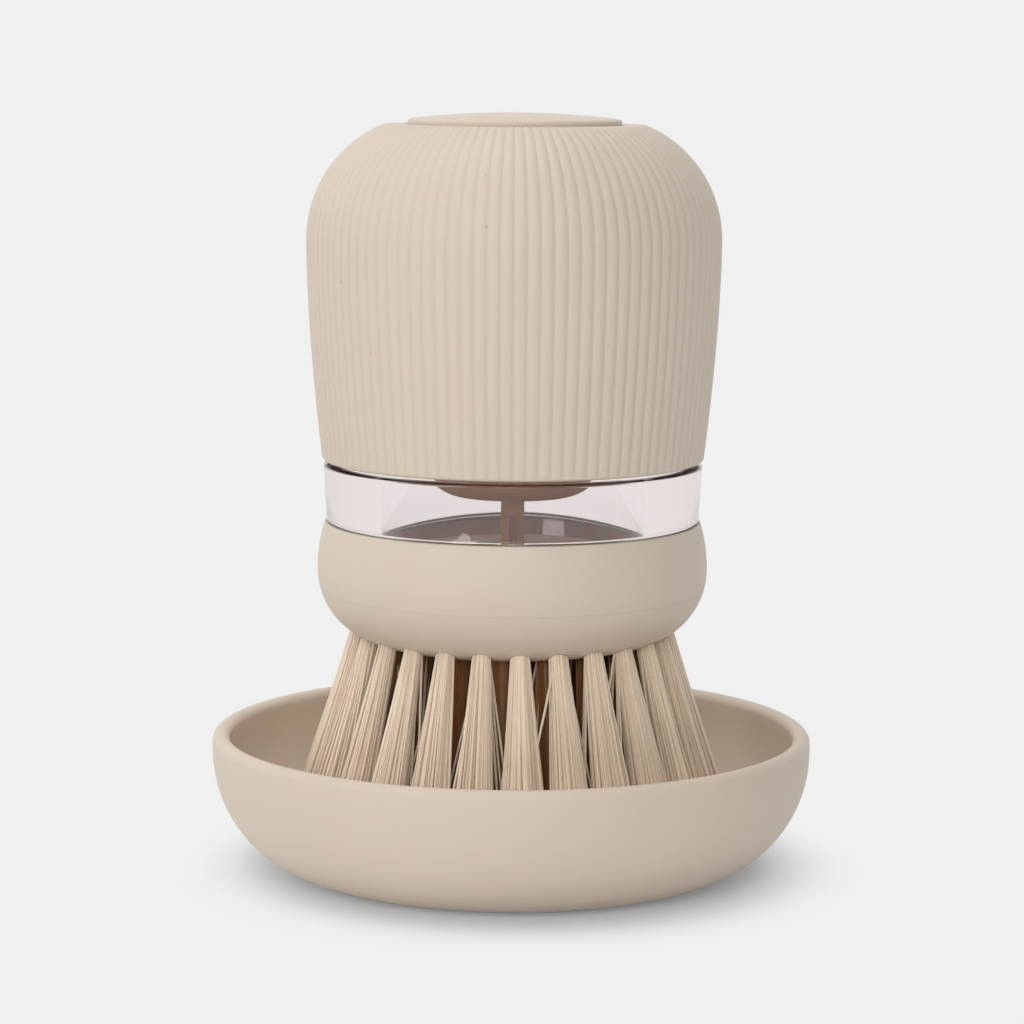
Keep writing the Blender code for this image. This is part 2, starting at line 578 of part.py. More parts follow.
def cover_outline():
    """Give the cover's outer profile with the outward direction at each point.

    From the foot the side swells by a power of the drop below the widest height, and from there
    a round shoulder runs up to the flat top. Each row is radius, height, outward radius share,
    outward height share and the share of the rib's depth.
    """
    belly = COVER_TOP - sqrt(COVER_SHOULDER_RADIUS ** 2
                             - (COVER_TOP_RADIUS - COVER_RADIUS + COVER_SHOULDER_RADIUS) ** 2)
    side_height = belly - COVER_BASE
    swell = COVER_RADIUS - COVER_FOOT_RADIUS
    rows = [(COVER_FOOT_RADIUS - COVER_FOOT_ROUND, COVER_BASE, 1.0, 0.0, 0.0)]
    for height_share in (COVER_FOOT_ROUND / side_height, SIDE_ROW_SHARE):
        radius = COVER_RADIUS - swell * (1 - height_share) ** COVER_TAPER_POWER
        rows.append((radius, COVER_BASE + side_height * height_share, 1.0, 0.0, 1.0))
    centre = (COVER_RADIUS - COVER_SHOULDER_RADIUS, belly)
    end = degrees(asin((COVER_TOP - belly) / COVER_SHOULDER_RADIUS))
    shoulder = arc(centre, (COVER_SHOULDER_RADIUS, COVER_SHOULDER_RADIUS), 0, end, SHOULDER_STEPS)
    for radius, height in shoulder:
        out = (radius - centre[0]) / COVER_SHOULDER_RADIUS
        up = (height - centre[1]) / COVER_SHOULDER_RADIUS
        rows.append((radius, height, out, up, 1.0))
    rows.append((BUTTON_OPENING - CLEARANCE, COVER_TOP, 0.0, 1.0, 1.0))
    return rows


def make_cover(finish, frame):
    """Make the ribbed grip cover, hollow and open below, with a round hole for the button."""
    shape = bmesh.new()
    columns = 2 * RIB_COUNT
    rings = []
    for radius, height, out, up, rib_share in cover_outline():
        ring = []
        for column in range(columns):
            sink = RIB_DEPTH * rib_share * (column % 2)
            reach = radius - sink * out
            turn = 2 * pi * column / columns
            ring.append(shape.verts.new((reach * cos(turn), reach * sin(turn), height - sink * up)))
        rings.append(ring)
    for low, high in zip(rings, rings[1:]):
        for column in range(columns):
            after = (column + 1) % columns
            shape.faces.new((low[column], low[after], high[after], high[column]))
    shape.faces.new(rings[0][::-1])
    shape.faces.new(rings[-1])
    cover = add_piece("grip_cover", shape, finish, frame)
    ceiling_centre = (COVER_BORE - CEILING_ROUND, COVER_CEILING - CEILING_DEPTH)
    cavity = [(0, COVER_BASE - OVERRUN), (COVER_BORE, COVER_BASE - OVERRUN)]
    cavity += arc(ceiling_centre, (CEILING_ROUND, CEILING_DEPTH), 0, 90, CEILING_STEPS)
    cavity += [(BUTTON_OPENING, COVER_CEILING), (BUTTON_OPENING, COVER_TOP + OVERRUN)]
    cavity += [(0, COVER_TOP + OVERRUN)]
    tool = add_turned("cover_cavity", cavity, BODY_STEPS, finish, frame)
    use_tool(cover, tool, "DIFFERENCE")


def make_button(finish, frame):
    """Make the domed push button with its rim, snap skirt and the boss that grips the stem."""
    skirt_base = LEDGE - SKIRT_FLANGE
    rim_base = BUTTON_EDGE - BUTTON_RIM_DEPTH
    rim_inner = BUTTON_RADIUS - BUTTON_RIM_WALL
    skirt_inner = SKIRT_RADIUS - SKIRT_WALL
    flange = WELL_BORE - CLEARANCE
    boss_base = BUTTON_UNDERSIDE - BOSS_DEPTH
    socket_top = STEM_TOP + CLEARANCE
    dome_radius = BUTTON_RADIUS - BUTTON_EDGE_ROUND
    outline = [(0, socket_top), (STEM_HOLE, socket_top), (STEM_HOLE, boss_base), (BOSS_RADIUS, boss_base)]
    outline += [(BOSS_RADIUS, BUTTON_UNDERSIDE), (skirt_inner, BUTTON_UNDERSIDE)]
    outline += [(skirt_inner, skirt_base), (flange, skirt_base), (flange, LEDGE), (SKIRT_RADIUS, LEDGE)]
    outline += [(SKIRT_RADIUS, BUTTON_UNDERSIDE), (rim_inner, BUTTON_UNDERSIDE), (rim_inner, rim_base)]
    outline += [(BUTTON_RADIUS, rim_base), (BUTTON_RADIUS, BUTTON_EDGE - BUTTON_EDGE_ROUND)]
    for share in DOME_RADIUS_SHARES:
        outline.append((dome_radius * share, BUTTON_EDGE + BUTTON_DOME * (1 - share ** 2)))
    add_turned("push_button", outline, BODY_STEPS, finish, frame)


def make_stem(finish, frame):
    """Make the plunger stem, with a groove for the clip and flutes that let soap past the seat."""
    groove_radius = STEM_RADIUS - CLIP_GROOVE_DEPTH
    groove_base = CLIP_BASE - CLEARANCE
    groove_top = CLIP_BASE + CLIP_THICKNESS + CLEARANCE
    outline = [(0, STEM_BASE), (STEM_RADIUS, STEM_BASE)]
    outline += [(STEM_RADIUS, groove_base), (groove_radius, groove_base), (groove_radius, groove_top)]
    outline += [(STEM_RADIUS, groove_top), (STEM_RADIUS, STEM_TOP), (0, STEM_TOP)]
    stem = add_turned("plunger_stem", outline, STEM_STEPS, finish, frame)
    flute_base = RESERVOIR_FLOOR + CLEARANCE
    flutes = bmesh.new()
    for index in range(FLUTE_COUNT // 2):
        for side in (-1, 1):
            near, far = STEM_RADIUS - FLUTE_DEPTH, STEM_RADIUS + FLUTE_DEPTH
            reach = sorted((side * near, side * far))
            across = (-FLUTE_WIDTH / 2, FLUTE_WIDTH / 2)
            spans = (reach, across) if index == 0 else (across, reach)
            low = (spans[0][0], spans[1][0], flute_base)
            high = (spans[0][1], spans[1][1], flute_base + FLUTE_LENGTH)
            add_block(flutes, low, high)
    tool = add_piece("stem_flutes", flutes, finish, frame)
    use_tool(stem, tool, "DIFFERENCE")


def make_spring_stops(plastic, steel, frame):
    """Make the collar that the spring lifts and the clip that holds the collar on the stem."""
    collar = band(STEM_HOLE, COLLAR_RADIUS, COLLAR_BASE, COLLAR_THICKNESS)
    add_turned("spring_collar", collar, SMALL_STEPS, plastic, frame)
    clip_bore = STEM_RADIUS - CLIP_GROOVE_DEPTH + CLEARANCE
    clip = add_turned("stem_clip", band(clip_bore, CLIP_RADIUS, CLIP_BASE, CLIP_THICKNESS),
                      SMALL_STEPS, steel, frame)
    mouth = bmesh.new()
    low = (-CLIP_MOUTH / 2, 0, CLIP_BASE - CLEARANCE)
    high = (CLIP_MOUTH / 2, CLIP_RADIUS + OVERRUN, CLIP_BASE + CLIP_THICKNESS + CLEARANCE)
    add_block(mouth, low, high)
    tool = add_piece("clip_mouth", mouth, steel, frame)
    use_tool(clip, tool, "DIFFERENCE")


def spring_point(turns):
    """Give the point of the wire's centre line after a number of turns."""
    rise = SPRING_LENGTH - SPRING_WIRE
    angle = 2 * pi * turns
    height = SPRING_BASE + SPRING_WIRE / 2 + rise * turns / SPRING_TURNS
    return (SPRING_RADIUS * cos(angle), SPRING_RADIUS * sin(angle), height)


def make_spring(finish, frame):
    """Wind the return spring as one unbroken wire and print its least gap to itself."""
    count = SPRING_TURNS * SPRING_POINTS_PER_TURN
    points = [spring_point(index / SPRING_POINTS_PER_TURN) for index in range(count + 1)]
    curve = bpy.data.curves.new("return_spring", "CURVE")
    curve.dimensions = "3D"
    curve.bevel_depth = SPRING_WIRE / 2
    curve.bevel_resolution = 1
    curve.use_fill_caps = True
    wire = curve.splines.new("POLY")
    wire.points.add(count)
    for spot, place in zip(wire.points, points):
        spot.co = (*place, 1)
    curve.materials.append(finish)
    spring = bpy.data.objects.new("return_spring", curve)
    bpy.context.collection.objects.link(spring)
    spring.parent = frame
    half_turn = SPRING_POINTS_PER_TURN // 2
    spans = [hypot(*(a - b for a, b in zip(points[i], points[j])))
             for i in range(count + 1) for j in range(i + half_turn, count + 1)]
    print("return_spring least gap to itself, mm:", round(1000 * (min(spans) - SPRING_WIRE), 2))


def clear_scene():
    """Remove whatever objects the open scene holds."""
    for item in list(bpy.data.objects):
        bpy.data.objects.remove(item, do_unlink=True)


def main():
    """Build the dish, then the brush that stands in it, body by body."""
    clear_scene()
    shell = make_finish("matte_shell_plastic", "#d6c8b8", 0.55)
    inner = make_finish("inner_plastic", "#cbb9a6", 0.5)
    fibre = make_finish("bristle_fibre", "#d8c9b6", 0.6)
    clear = make_finish("clear_plastic", "#f1ecea", 0.05, transmission=1.0)
    rubber = make_finish("silicone_rubber", "#8c7466", 0.6)
    steel = make_finish("spring_steel", "#b4b2ae", 0.3, metallic=1.0)

    dish_frame = add_frame("dish_frame")
    outer_tip = strand_line(OUTER_ROW_RADIUS, OUTER_SLANT, (1.0, 0.0))[1][0] + STRAND_RADIUS
    head_height = dish_inner_height(outer_tip) + CLEARANCE + BRISTLE_LENGTH
    head_frame = add_frame("head_frame", dish_frame, head_height)
    gasket_frame = add_frame("gasket_frame", head_frame)
    handle_frame = add_frame("handle_frame", gasket_frame)
    plunger_frame = add_frame("plunger_frame", handle_frame)

    make_dish(shell, dish_frame)
    make_head_collar(shell, head_frame)
    make_tuft_plate(shell, head_frame)
    make_bristles(fibre, head_frame)
    make_outlet(inner, rubber, head_frame)
    make_neck_gasket(rubber, gasket_frame)
    make_reservoir(clear, handle_frame)
    make_lid_gasket(rubber, handle_frame)
    make_housing(inner, handle_frame)
    make_stem_seal(rubber, inner, handle_frame)
    make_button_retainer(inner, handle_frame)
    make_cover(shell, handle_frame)
    make_spring(steel, handle_frame)
    make_button(shell, plunger_frame)
    make_stem(inner, plunger_frame)
    make_spring_stops(inner, steel, plunger_frame)


main()
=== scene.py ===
"""The looks of a palm-held dish brush that dispenses soap, standing in its storage dish.

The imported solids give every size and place. Each visible piece is worked out again here as a
fine surface on the same lines, and every piece gets its own finish.
"""
import logging
import math
from dataclasses import dataclass, field, replace
from enum import Enum
from functools import partial
from typing import Any, Callable, Sequence

import bmesh
import bpy
import numpy as np
from mathutils import Matrix, Vector


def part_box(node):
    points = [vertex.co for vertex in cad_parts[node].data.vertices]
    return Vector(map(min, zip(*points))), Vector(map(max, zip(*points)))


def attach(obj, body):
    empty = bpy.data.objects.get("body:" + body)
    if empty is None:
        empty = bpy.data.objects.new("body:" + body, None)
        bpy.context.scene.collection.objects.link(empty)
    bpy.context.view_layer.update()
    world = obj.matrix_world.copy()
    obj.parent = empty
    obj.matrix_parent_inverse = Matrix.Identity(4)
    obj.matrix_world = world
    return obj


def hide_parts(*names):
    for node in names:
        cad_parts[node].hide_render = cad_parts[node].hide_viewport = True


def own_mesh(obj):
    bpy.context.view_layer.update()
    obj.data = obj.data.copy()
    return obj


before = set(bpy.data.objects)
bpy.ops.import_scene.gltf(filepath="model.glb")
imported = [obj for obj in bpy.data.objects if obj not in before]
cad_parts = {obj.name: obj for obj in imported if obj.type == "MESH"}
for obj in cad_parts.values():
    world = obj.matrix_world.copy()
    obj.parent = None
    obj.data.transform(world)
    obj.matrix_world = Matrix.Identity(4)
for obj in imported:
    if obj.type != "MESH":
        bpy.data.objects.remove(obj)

Material, Mesh, Piece = bpy.types.Material, bpy.types.Mesh, bpy.types.Object
Tree, Socket = bpy.types.NodeTree, bpy.types.NodeSocket
Triple = tuple[float, float, float]
Inputs = dict[str | int, Any]
Adder = Callable[..., Any]  # add_node for one tree

LOG = logging.getLogger("dish_brush")
MM = 0.001
MERGE_DISTANCE = 0.0000001
FULL_TURN = 2 * math.pi
# the tone also carries the inner rings' painted shade; the groove depth places the grooves' painted
# shade
TONE, GROOVE = "tone", "groove"  # attributes that a mesh carries for its finish


class Body(Enum):
    """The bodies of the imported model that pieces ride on."""

    DISH = "dish"
    HEAD = "brush_head"
    HANDLE = "handle"
    PLUNGER = "plunger"


class Slot(Enum):
    """The record's material slots."""

    SHELL = "shell_plastic"
    FIBRE = "bristle_fibre"
    INNER = "inner_plastic"
    CLEAR = "clear_plastic"
    SILICONE = "silicone"
    STEEL = "spring_steel"


KEPT_NODES = {
    Slot.INNER: ("outlet_tube", "seal_cap", "button_retainer", "spring_collar"),
    Slot.SILICONE: ("outlet_o_ring", "valve_seat", "neck_gasket", "lid_gasket", "stem_seal"),
    Slot.STEEL: ("stem_clip",)}


# Colour and nodes


def linear(hex_colour: str) -> tuple[float, ...]:
    """Turn an sRGB hex colour into linear red, green, blue and alpha.

    Args:
        hex_colour: A colour such as "#d6c8b8".

    Returns:
        The linear colour with an alpha of 1.
    """
    channels = np.array([int(hex_colour[index:index + 2], 16) / 255 for index in (1, 3, 5)])
    curve = np.where(channels <= 0.04045, channels / 12.92, ((channels + 0.055) / 1.055) ** 2.4)
    return (*curve.tolist(), 1.0)


def feed(tree: Tree, node: bpy.types.Node, inputs: Inputs) -> None:
    """Give a node its input values and the links that reach it.

    Args:
        tree: The node's tree.
        node: The node.
        inputs: Input name or number to the output that feeds it, a hex colour or another value.
    """
    for name, value in inputs.items():
        if isinstance(value, Socket):
            tree.links.new(value, node.inputs[name])
        else:
            node.inputs[name].default_value = linear(value) if isinstance(value, str) else value


def add_node(tree: Tree, kind: str, inputs: Inputs | None = None,
             **settings: Any) -> bpy.types.bpy_prop_collection:
    """Add a node with its settings and links.

    Args:
        tree: The node tree to add to.
        kind: The node's type name after "ShaderNode", such as "TexNoise".
        inputs: What it takes, as feed reads it.
        settings: Properties of the node itself.

    Returns:
        The node's outputs, by name or number.
    """
    node = tree.nodes.new("ShaderNode" + kind)
    for name, value in settings.items():
        setattr(node, name, value)
    feed(tree, node, inputs or {})
    return node.outputs


def mottled(add: Adder, place: Socket, patch_mm: float, colours: tuple[str, str],
            detail: float = 3.0, roughness: float = 0.5) -> Socket:
    """Blend two colours in soft patches.

    Args:
        add: Adds a node.
        place: The Object coordinates.
        patch_mm: How large the patches are.
        colours: The two hex colours.
        detail: How many finer layers the patches have.
        roughness: How much each finer layer counts.

    Returns:
        The colour.
    """
    patches = add("TexNoise", {
        "Vector": place, "Scale": 1 / (patch_mm * MM), "Detail": detail, "Roughness": roughness})
    return add("Mix", {0: patches["Fac"], 6: colours[0], 7: colours[1]}, data_type="RGBA")[2]


def axis_reach(add: Adder, place: Socket) -> Socket:
    """Give how far each place lies from the upright axis, in metres."""
    flat = add("VectorMath", {0: place, 1: (1, 1, 0)}, operation="MULTIPLY")
    return add("VectorMath", {0: flat[0]}, operation="LENGTH")["Value"]


# Finishes


@dataclass(frozen=True)
class Finish:
    """What a piece is made of and how its surface was made."""

    name: str

    def surface(self, add: Adder, place: Socket) -> Inputs:
        """Give the shader's inputs, from patterns laid in Object coordinates."""
        raise NotImplementedError

    def material(self) -> Material:
        """Build the finish.

        Returns:
            The material.
        """
        material = bpy.data.materials.new(self.name)
        material.use_nodes = True
        tree = material.node_tree
        add = partial(add_node, tree)
        for name, value in self.surface(add, add("TexCoord")["Object"]).items():
            end = "Material Output" if name == "Volume" else "Principled BSDF"
            feed(tree, tree.nodes[end], {name: value})
        return material


@dataclass(frozen=True)
class MouldedPlastic(Finish):
    """ABS moulded against a spark-eroded tool.

    The tool's fine grit leaves an even matte skin with no gloss, so light falls off softly over
    it. The colour is mixed in, with faint clouding from the flow and a few tiny specks of dust.
    Where asked, narrow grooves are painted darker than the ribs and a region is painted warm and
    darker, both as painted shade.
    """

    colour: str
    cloud_colour: str
    speck_colour: str
    roughness: float = 0.52
    gloss_spread: float = 0.06
    ior: float = 1.54
    cloud_mm: float = 22.0
    cloud_roughness: float = 0.55
    grain_mm: float = 0.45  # the real grit is about 0.05 mm, drawn coarser so that it shows
    grain_height_mm: float = 0.006
    speck_pitch_mm: float = 4.2
    speck_share: float = 0.048
    speck_count_share: float = 0.24
    softness_mm: float = 0.5
    softness_weight: float = 0.12
    softness_reach: Triple = (1.0, 0.8, 0.6)
    # painted shade: how far the grooves are darkened, as the shade that falls in them
    groove_shade_weight: float = 0.0
    groove_shade_colour: str = "#b3a08c"
    # painted warm shade: laid inside a radius and above a height, as the dim warm light in a hollow
    warm_shade_radius_mm: float = 0.0
    warm_shade_base_mm: float = 0.0
    warm_shade_colour: str = "#e2b490"
    deep_warm_shade_colour: str = "#eda064"
    warm_shade_patch_mm: float = 7.0
    warm_shade_start: float = 0.45
    warm_shade_full: float = 0.6

    def paint_warm_shade(self, add: Adder, place: Socket, bare: Socket) -> Socket:
        """Paint warm shade over the plastic, inside a radius and above a height.

        It stands in for the dim, warm light in the socket under the clear reservoir, and is uneven,
        with deeper orange patches.

        Args:
            add: Adds a node.
            place: The Object coordinates.
            bare: The plastic's own colour.

        Returns:
            The colour with the painted warm shade on it.
        """
        inside = add("Math", {
            0: axis_reach(add, place), 1: self.warm_shade_radius_mm * MM}, operation="LESS_THAN")
        height = add("SeparateXYZ", {"Vector": place})["Z"]
        above = add("Math", {0: height, 1: self.warm_shade_base_mm * MM}, operation="GREATER_THAN")
        where = add("Math", {0: inside[0], 1: above[0]}, operation="MULTIPLY")
        warm_patches = add("TexNoise", {"Vector": place, "Scale": 1 / (self.warm_shade_patch_mm * MM), "Detail": 2.0})
        deep = add("MapRange", {
            "Value": warm_patches["Fac"], "From Min": self.warm_shade_start, "From Max": self.warm_shade_full})
        warm_shade = add("Mix", {
            0: deep[0], 6: self.warm_shade_colour, 7: self.deep_warm_shade_colour}, data_type="RGBA")
        return add("Mix", {0: where[0], 6: bare, 7: warm_shade[2]}, data_type="RGBA")[2]

    def surface(self, add: Adder, place: Socket) -> Inputs:
        """Cloud, speck and grain the plastic, then paint shade into its grooves and warm shade
        where asked.

        Args:
            add: Adds a node.
            place: The Object coordinates.

        Returns:
            The shader's inputs.
        """
        tint = mottled(add, place, self.cloud_mm, (self.colour, self.cloud_colour),
                       roughness=self.cloud_roughness)
        cells = add("TexVoronoi", {"Vector": place, "Scale": 1 / (self.speck_pitch_mm * MM)})
        near = add("Math", {0: cells["Distance"], 1: self.speck_share}, operation="LESS_THAN")
        drawn = add("SeparateColor", {"Color": cells["Color"]})
        few = add("Math", {0: drawn["Red"], 1: self.speck_count_share}, operation="LESS_THAN")
        speck = add("Math", {0: near[0], 1: few[0]}, operation="MULTIPLY")
        faint = add("Math", {0: speck[0], 1: drawn["Green"]}, operation="MULTIPLY")
        colour = add("Mix", {0: faint[0], 6: tint, 7: self.speck_colour}, data_type="RGBA")[2]
        grain = add("TexNoise", {
            "Vector": place, "Scale": 1 / (self.grain_mm * MM), "Detail": 2.0})["Fac"]
        bump = add("Bump", {"Height": grain, "Distance": self.grain_height_mm * MM})
        gloss = add("MapRange", {
            "Value": grain, "To Min": self.roughness - self.gloss_spread,
            "To Max": self.roughness + self.gloss_spread})
        # painted shade in the grooves: the groove depth darkens the colour
        if self.groove_shade_weight > 0:
            depth = add("Attribute", attribute_name=GROOVE)["Fac"]
            groove_shade = add("Math", {0: depth, 1: self.groove_shade_weight}, operation="MULTIPLY")
            colour = add("Mix", {0: groove_shade[0], 6: colour, 7: self.groove_shade_colour}, data_type="RGBA")[2]
        # painted warm shade inside the set radius and above the set height
        if self.warm_shade_radius_mm > 0:
            colour = self.paint_warm_shade(add, place, colour)
        return {"Base Color": colour, "Roughness": gloss[0], "Normal": bump[0], "IOR": self.ior,
                "Subsurface Weight": self.softness_weight,
                "Subsurface Scale": self.softness_mm * MM,
                "Subsurface Radius": self.softness_reach}


@dataclass(frozen=True)
class ClearPlastic(Finish):
    """Clear SAN, moulded with polished faces in a split mould.

    A thick wall of it bends what stands behind and mirrors the light room at steep angles. The
    plastic itself is faintly warm, which shows where light passes through centimetres of it:
    absorption gives the share of red, green and blue lost per metre. Its polished faces keep
    only slight waves, and where the mould's halves meet a thin whitish broken line runs up the
    outer face.
    """

    name: str = "clear_san_moulded"
    colour: str = "#ffffff"
    absorption: Triple = (3.6, 7.8, 8.6)
    roughness: float = 0.02
    ior: float = 1.57
    wave_mm: float = 9.0
    wave_height_mm: float = 0.006
    line_degrees: float = -47.2
    line_mm: float = 0.22
    line_radius_mm: float = 27.6
    line_cloud: float = 0.75
    dash_mm: float = 0.9
    dash_start: float = 0.4
    dash_full: float = 0.6

    def line_mask(self, add: Adder, place: Socket) -> Socket:
        """Mark the mould's parting line on the outer face.

        The line is where the angle round the axis is within half its width of its place, broken
        by a noise and kept to the outer radius.

        Args:
            add: Adds a node.
            place: The Object coordinates.

        Returns:
            The line's strength from 0 to 1.
        """
        parts = add("SeparateXYZ", {"Vector": place})
        angle = add("Math", {0: parts["Y"], 1: parts["X"]}, operation="ARCTAN2")
        near = add("Math", {
            0: angle[0], 1: math.radians(self.line_degrees),
            2: self.line_mm / (2 * self.line_radius_mm)}, operation="COMPARE")
        outer = add("Math", {
            0: axis_reach(add, place), 1: self.line_radius_mm * MM}, operation="GREATER_THAN")
        dash = add("TexNoise", {"Vector": place, "Scale": 1 / (self.dash_mm * MM), "Detail": 1.0})
        broken = add("MapRange", {
            "Value": dash["Fac"], "From Min": self.dash_start, "From Max": self.dash_full,
            "To Max": self.line_cloud})
        on_face = add("Math", {0: near[0], 1: outer[0]}, operation="MULTIPLY")
        return add("Math", {0: on_face[0], 1: broken[0]}, operation="MULTIPLY")[0]

    def surface(self, add: Adder, place: Socket) -> Inputs:
        """Make it clear apart from the parting line, and fill it with its faint tint.

        Args:
            add: Adds a node.
            place: The Object coordinates.

        Returns:
            The shader's inputs.
        """
        wave = add("TexNoise", {"Vector": place, "Scale": 1 / (self.wave_mm * MM), "Detail": 1.0})
        bump = add("Bump", {"Height": wave["Fac"], "Distance": self.wave_height_mm * MM})
        clear = add("Math", {0: 1.0, 1: self.line_mask(add, place)}, operation="SUBTRACT")
        density = max(self.absorption) + 1
        kept = [1 - loss / density for loss in self.absorption]
        body = add("VolumeAbsorption", {"Color": (*kept, 1), "Density": density})
        return {"Base Color": self.colour, "Roughness": self.roughness, "IOR": self.ior,
                "Transmission Weight": clear[0], "Normal": bump[0], "Volume": body[0]}


@dataclass(frozen=True)
class NylonFilament(Finish):
    """Drawn nylon 6.6 filament, cream, cut to length.

    Drawing leaves it smooth with a soft sheen along its length. The inner rings' filaments
    are painted dark tan, as painted shade warmed by light bounced between the tufts. Each filament
    has its own tone.
    """

    name: str = "nylon_filament_drawn"
    colour: str = "#f5e4cf"
    warm_and_shade_colour: str = "#99653d"
    roughness: float = 0.42
    ior: float = 1.53
    streak_mm: float = 0.8
    streak_squeeze: float = 0.06
    streak_weight: float = 0.2

    def surface(self, add: Adder, place: Socket) -> Inputs:
        """Warm each filament by its tone and by long streaks, which add nothing on average.

        A tone near 1 is the painted shade of the inner rings.

        Args:
            add: Adds a node.
            place: The Object coordinates.

        Returns:
            The shader's inputs.
        """
        tone = add("Attribute", attribute_name=TONE)["Fac"]
        drawn = add("VectorMath", {0: place, 1: (1, 1, self.streak_squeeze)}, operation="MULTIPLY")
        streak = add("TexNoise", {
            "Vector": drawn[0], "Scale": 1 / (self.streak_mm * MM), "Detail": 2.0})
        blend = add("Math", {0: streak["Fac"], 1: self.streak_weight, 2: tone},
                    operation="MULTIPLY_ADD")
        share = add("Math", {0: blend[0], 1: self.streak_weight / 2},
                    operation="SUBTRACT", use_clamp=True)
        tint = add("Mix", {0: share[0], 6: self.colour, 7: self.warm_and_shade_colour}, data_type="RGBA")
        return {"Base Color": tint[2], "Roughness": self.roughness, "IOR": self.ior}


@dataclass(frozen=True)
class Silicone(Finish):
    """Moulded silicone rubber, brown.

    Its skin is dead matte with a dusty bloom, which shows as a faint mottling of its colour.
    """

    name: str = "silicone_moulded"
    colours: tuple[str, str] = ("#8c7466", "#9c8677")
    roughness: float = 0.62
    ior: float = 1.41
    bloom_mm: float = 1.2

    def surface(self, add: Adder, place: Socket) -> Inputs:
        """Mottle the rubber with its bloom."""
        tint = mottled(add, place, self.bloom_mm, self.colours)
        return {"Base Color": tint, "Roughness": self.roughness, "IOR": self.ior}


@dataclass(frozen=True)
class DrawnSteel(Finish):
    """Stainless spring wire, drawn through a die.

    Drawing leaves fine lines and a bright satin skin that mirrors softly.
    """

    name: str = "stainless_wire_drawn"
    colours: tuple[str, str] = ("#b9b7b2", "#8f8d89")
    roughness: float = 0.28
    line_mm: float = 0.3

    def surface(self, add: Adder, place: Socket) -> Inputs:
        """Vary the wire's tone with its fine lines."""
        tint = mottled(add, place, self.line_mm, self.colours, detail=2.0)
        return {"Base Color": tint, "Roughness": self.roughness, "Metallic": 1.0}


# Surfaces


def rounded(corners: Sequence[Triple], steps: int = 5, closed: bool = True) -> np.ndarray:
    """Round the corners of an outline, each by its own reach.

    A corner P with reach t becomes the parabola's arc (1-u)^2 A + 2u(1-u) P + u^2 B, where A and
    B lie t away from P towards its two neighbours. A reach of 0 keeps the corner.

    Args:
        corners: Rows of radius, height and reach, in millimetres.
        steps: Pieces in each arc.
        closed: Whether the last corner joins the first.

    Returns:
        Rows of radius and height, in millimetres.
    """
    table = np.array(corners, float)
    points, reaches = table[:, :2], table[:, 2]
    before, after = np.roll(points, 1, axis=0), np.roll(points, -1, axis=0)
    share = np.linspace(0, 1, steps + 1)[:, None]
    rows = []
    for index, (corner, reach) in enumerate(zip(points, reaches)):
        if reach <= 0 or (not closed and index in (0, len(points) - 1)):
            rows.append(corner[None])
            continue
        sides = [before[index] - corner, after[index] - corner]
        lengths = [float(np.hypot(*side)) for side in sides]
        first, last = [corner + side / length * min(reach, length / 2)
                       for side, length in zip(sides, lengths)]
        rows.append((1 - share) ** 2 * first + 2 * share * (1 - share) * corner + share ** 2 * last)
    return np.concatenate(rows)


def ellipse_arc(centre: tuple[float, float], radii: tuple[float, float], start: float,
                end: float, steps: int) -> np.ndarray:
    """Give points of an ellipse's arc: centre + (a cos t, b sin t), t in degrees.

    Args:
        centre: Radius and height of the centre, in millimetres.
        radii: Half widths outward and upward, in millimetres.
        start: First angle in degrees.
        end: Last angle in degrees.
        steps: Pieces in the arc.

    Returns:
        Rows of radius and height, in millimetres.
    """
    turn = np.radians(np.linspace(start, end, steps + 1))
    return np.stack([centre[0] + radii[0] * np.cos(turn),
                     centre[1] + radii[1] * np.sin(turn)], axis=1)


def ring_angles(count: int) -> np.ndarray:
    """Give angles spread evenly over a full turn, in radians."""
    return np.arange(count) * FULL_TURN / count


def carried_round(radius: np.ndarray, height: np.ndarray, columns: int) -> np.ndarray:
    """Carry a profile round the axis: x = r cos a, y = r sin a, z = height.

    Args:
        radius: Radii, one row for each point of the profile, the same all round or by column.
        height: Heights in the same form.
        columns: Points round the axis.

    Returns:
        Array of rows by columns by x, y, z.
    """
    angle = ring_angles(columns)
    return np.stack([radius * np.cos(angle), radius * np.sin(angle), height + 0 * angle], axis=-1)


def placed(name: str, data: Mesh | bpy.types.Light | bpy.types.Camera) -> Piece:
    """Make an object at the origin.

    Args:
        name: The object's name.
        data: Its mesh, lamp or camera.

    Returns:
        The object, linked to the scene.
    """
    piece = bpy.data.objects.new(name, data)
    bpy.context.scene.collection.objects.link(piece)
    return piece


def raw_mesh(name: str, points: np.ndarray, faces: Sequence[np.ndarray]) -> Mesh:
    """Put points and faces into a new mesh by whole arrays.

    Args:
        name: The mesh's name.
        points: Any array of x, y, z in millimetres.
        faces: Arrays of vertex numbers, one row for each face; each array has its own width.

    Returns:
        The mesh.
    """
    mesh = bpy.data.meshes.new(name)
    rows = points.reshape(-1, 3) * MM
    loops = np.concatenate([block.reshape(-1) for block in faces]).astype(np.int32)
    widths = np.concatenate([np.full(len(block), block.shape[1]) for block in faces])
    starts = np.concatenate([[0], np.cumsum(widths)[:-1]]).astype(np.int32)
    mesh.vertices.add(len(rows))
    mesh.vertices.foreach_set("co", rows.astype(np.float32).reshape(-1))
    mesh.loops.add(len(loops))
    mesh.loops.foreach_set("vertex_index", loops)
    mesh.polygons.add(len(starts))
    mesh.polygons.foreach_set("loop_start", starts)
    mesh.update(calc_edges=True)
    return mesh


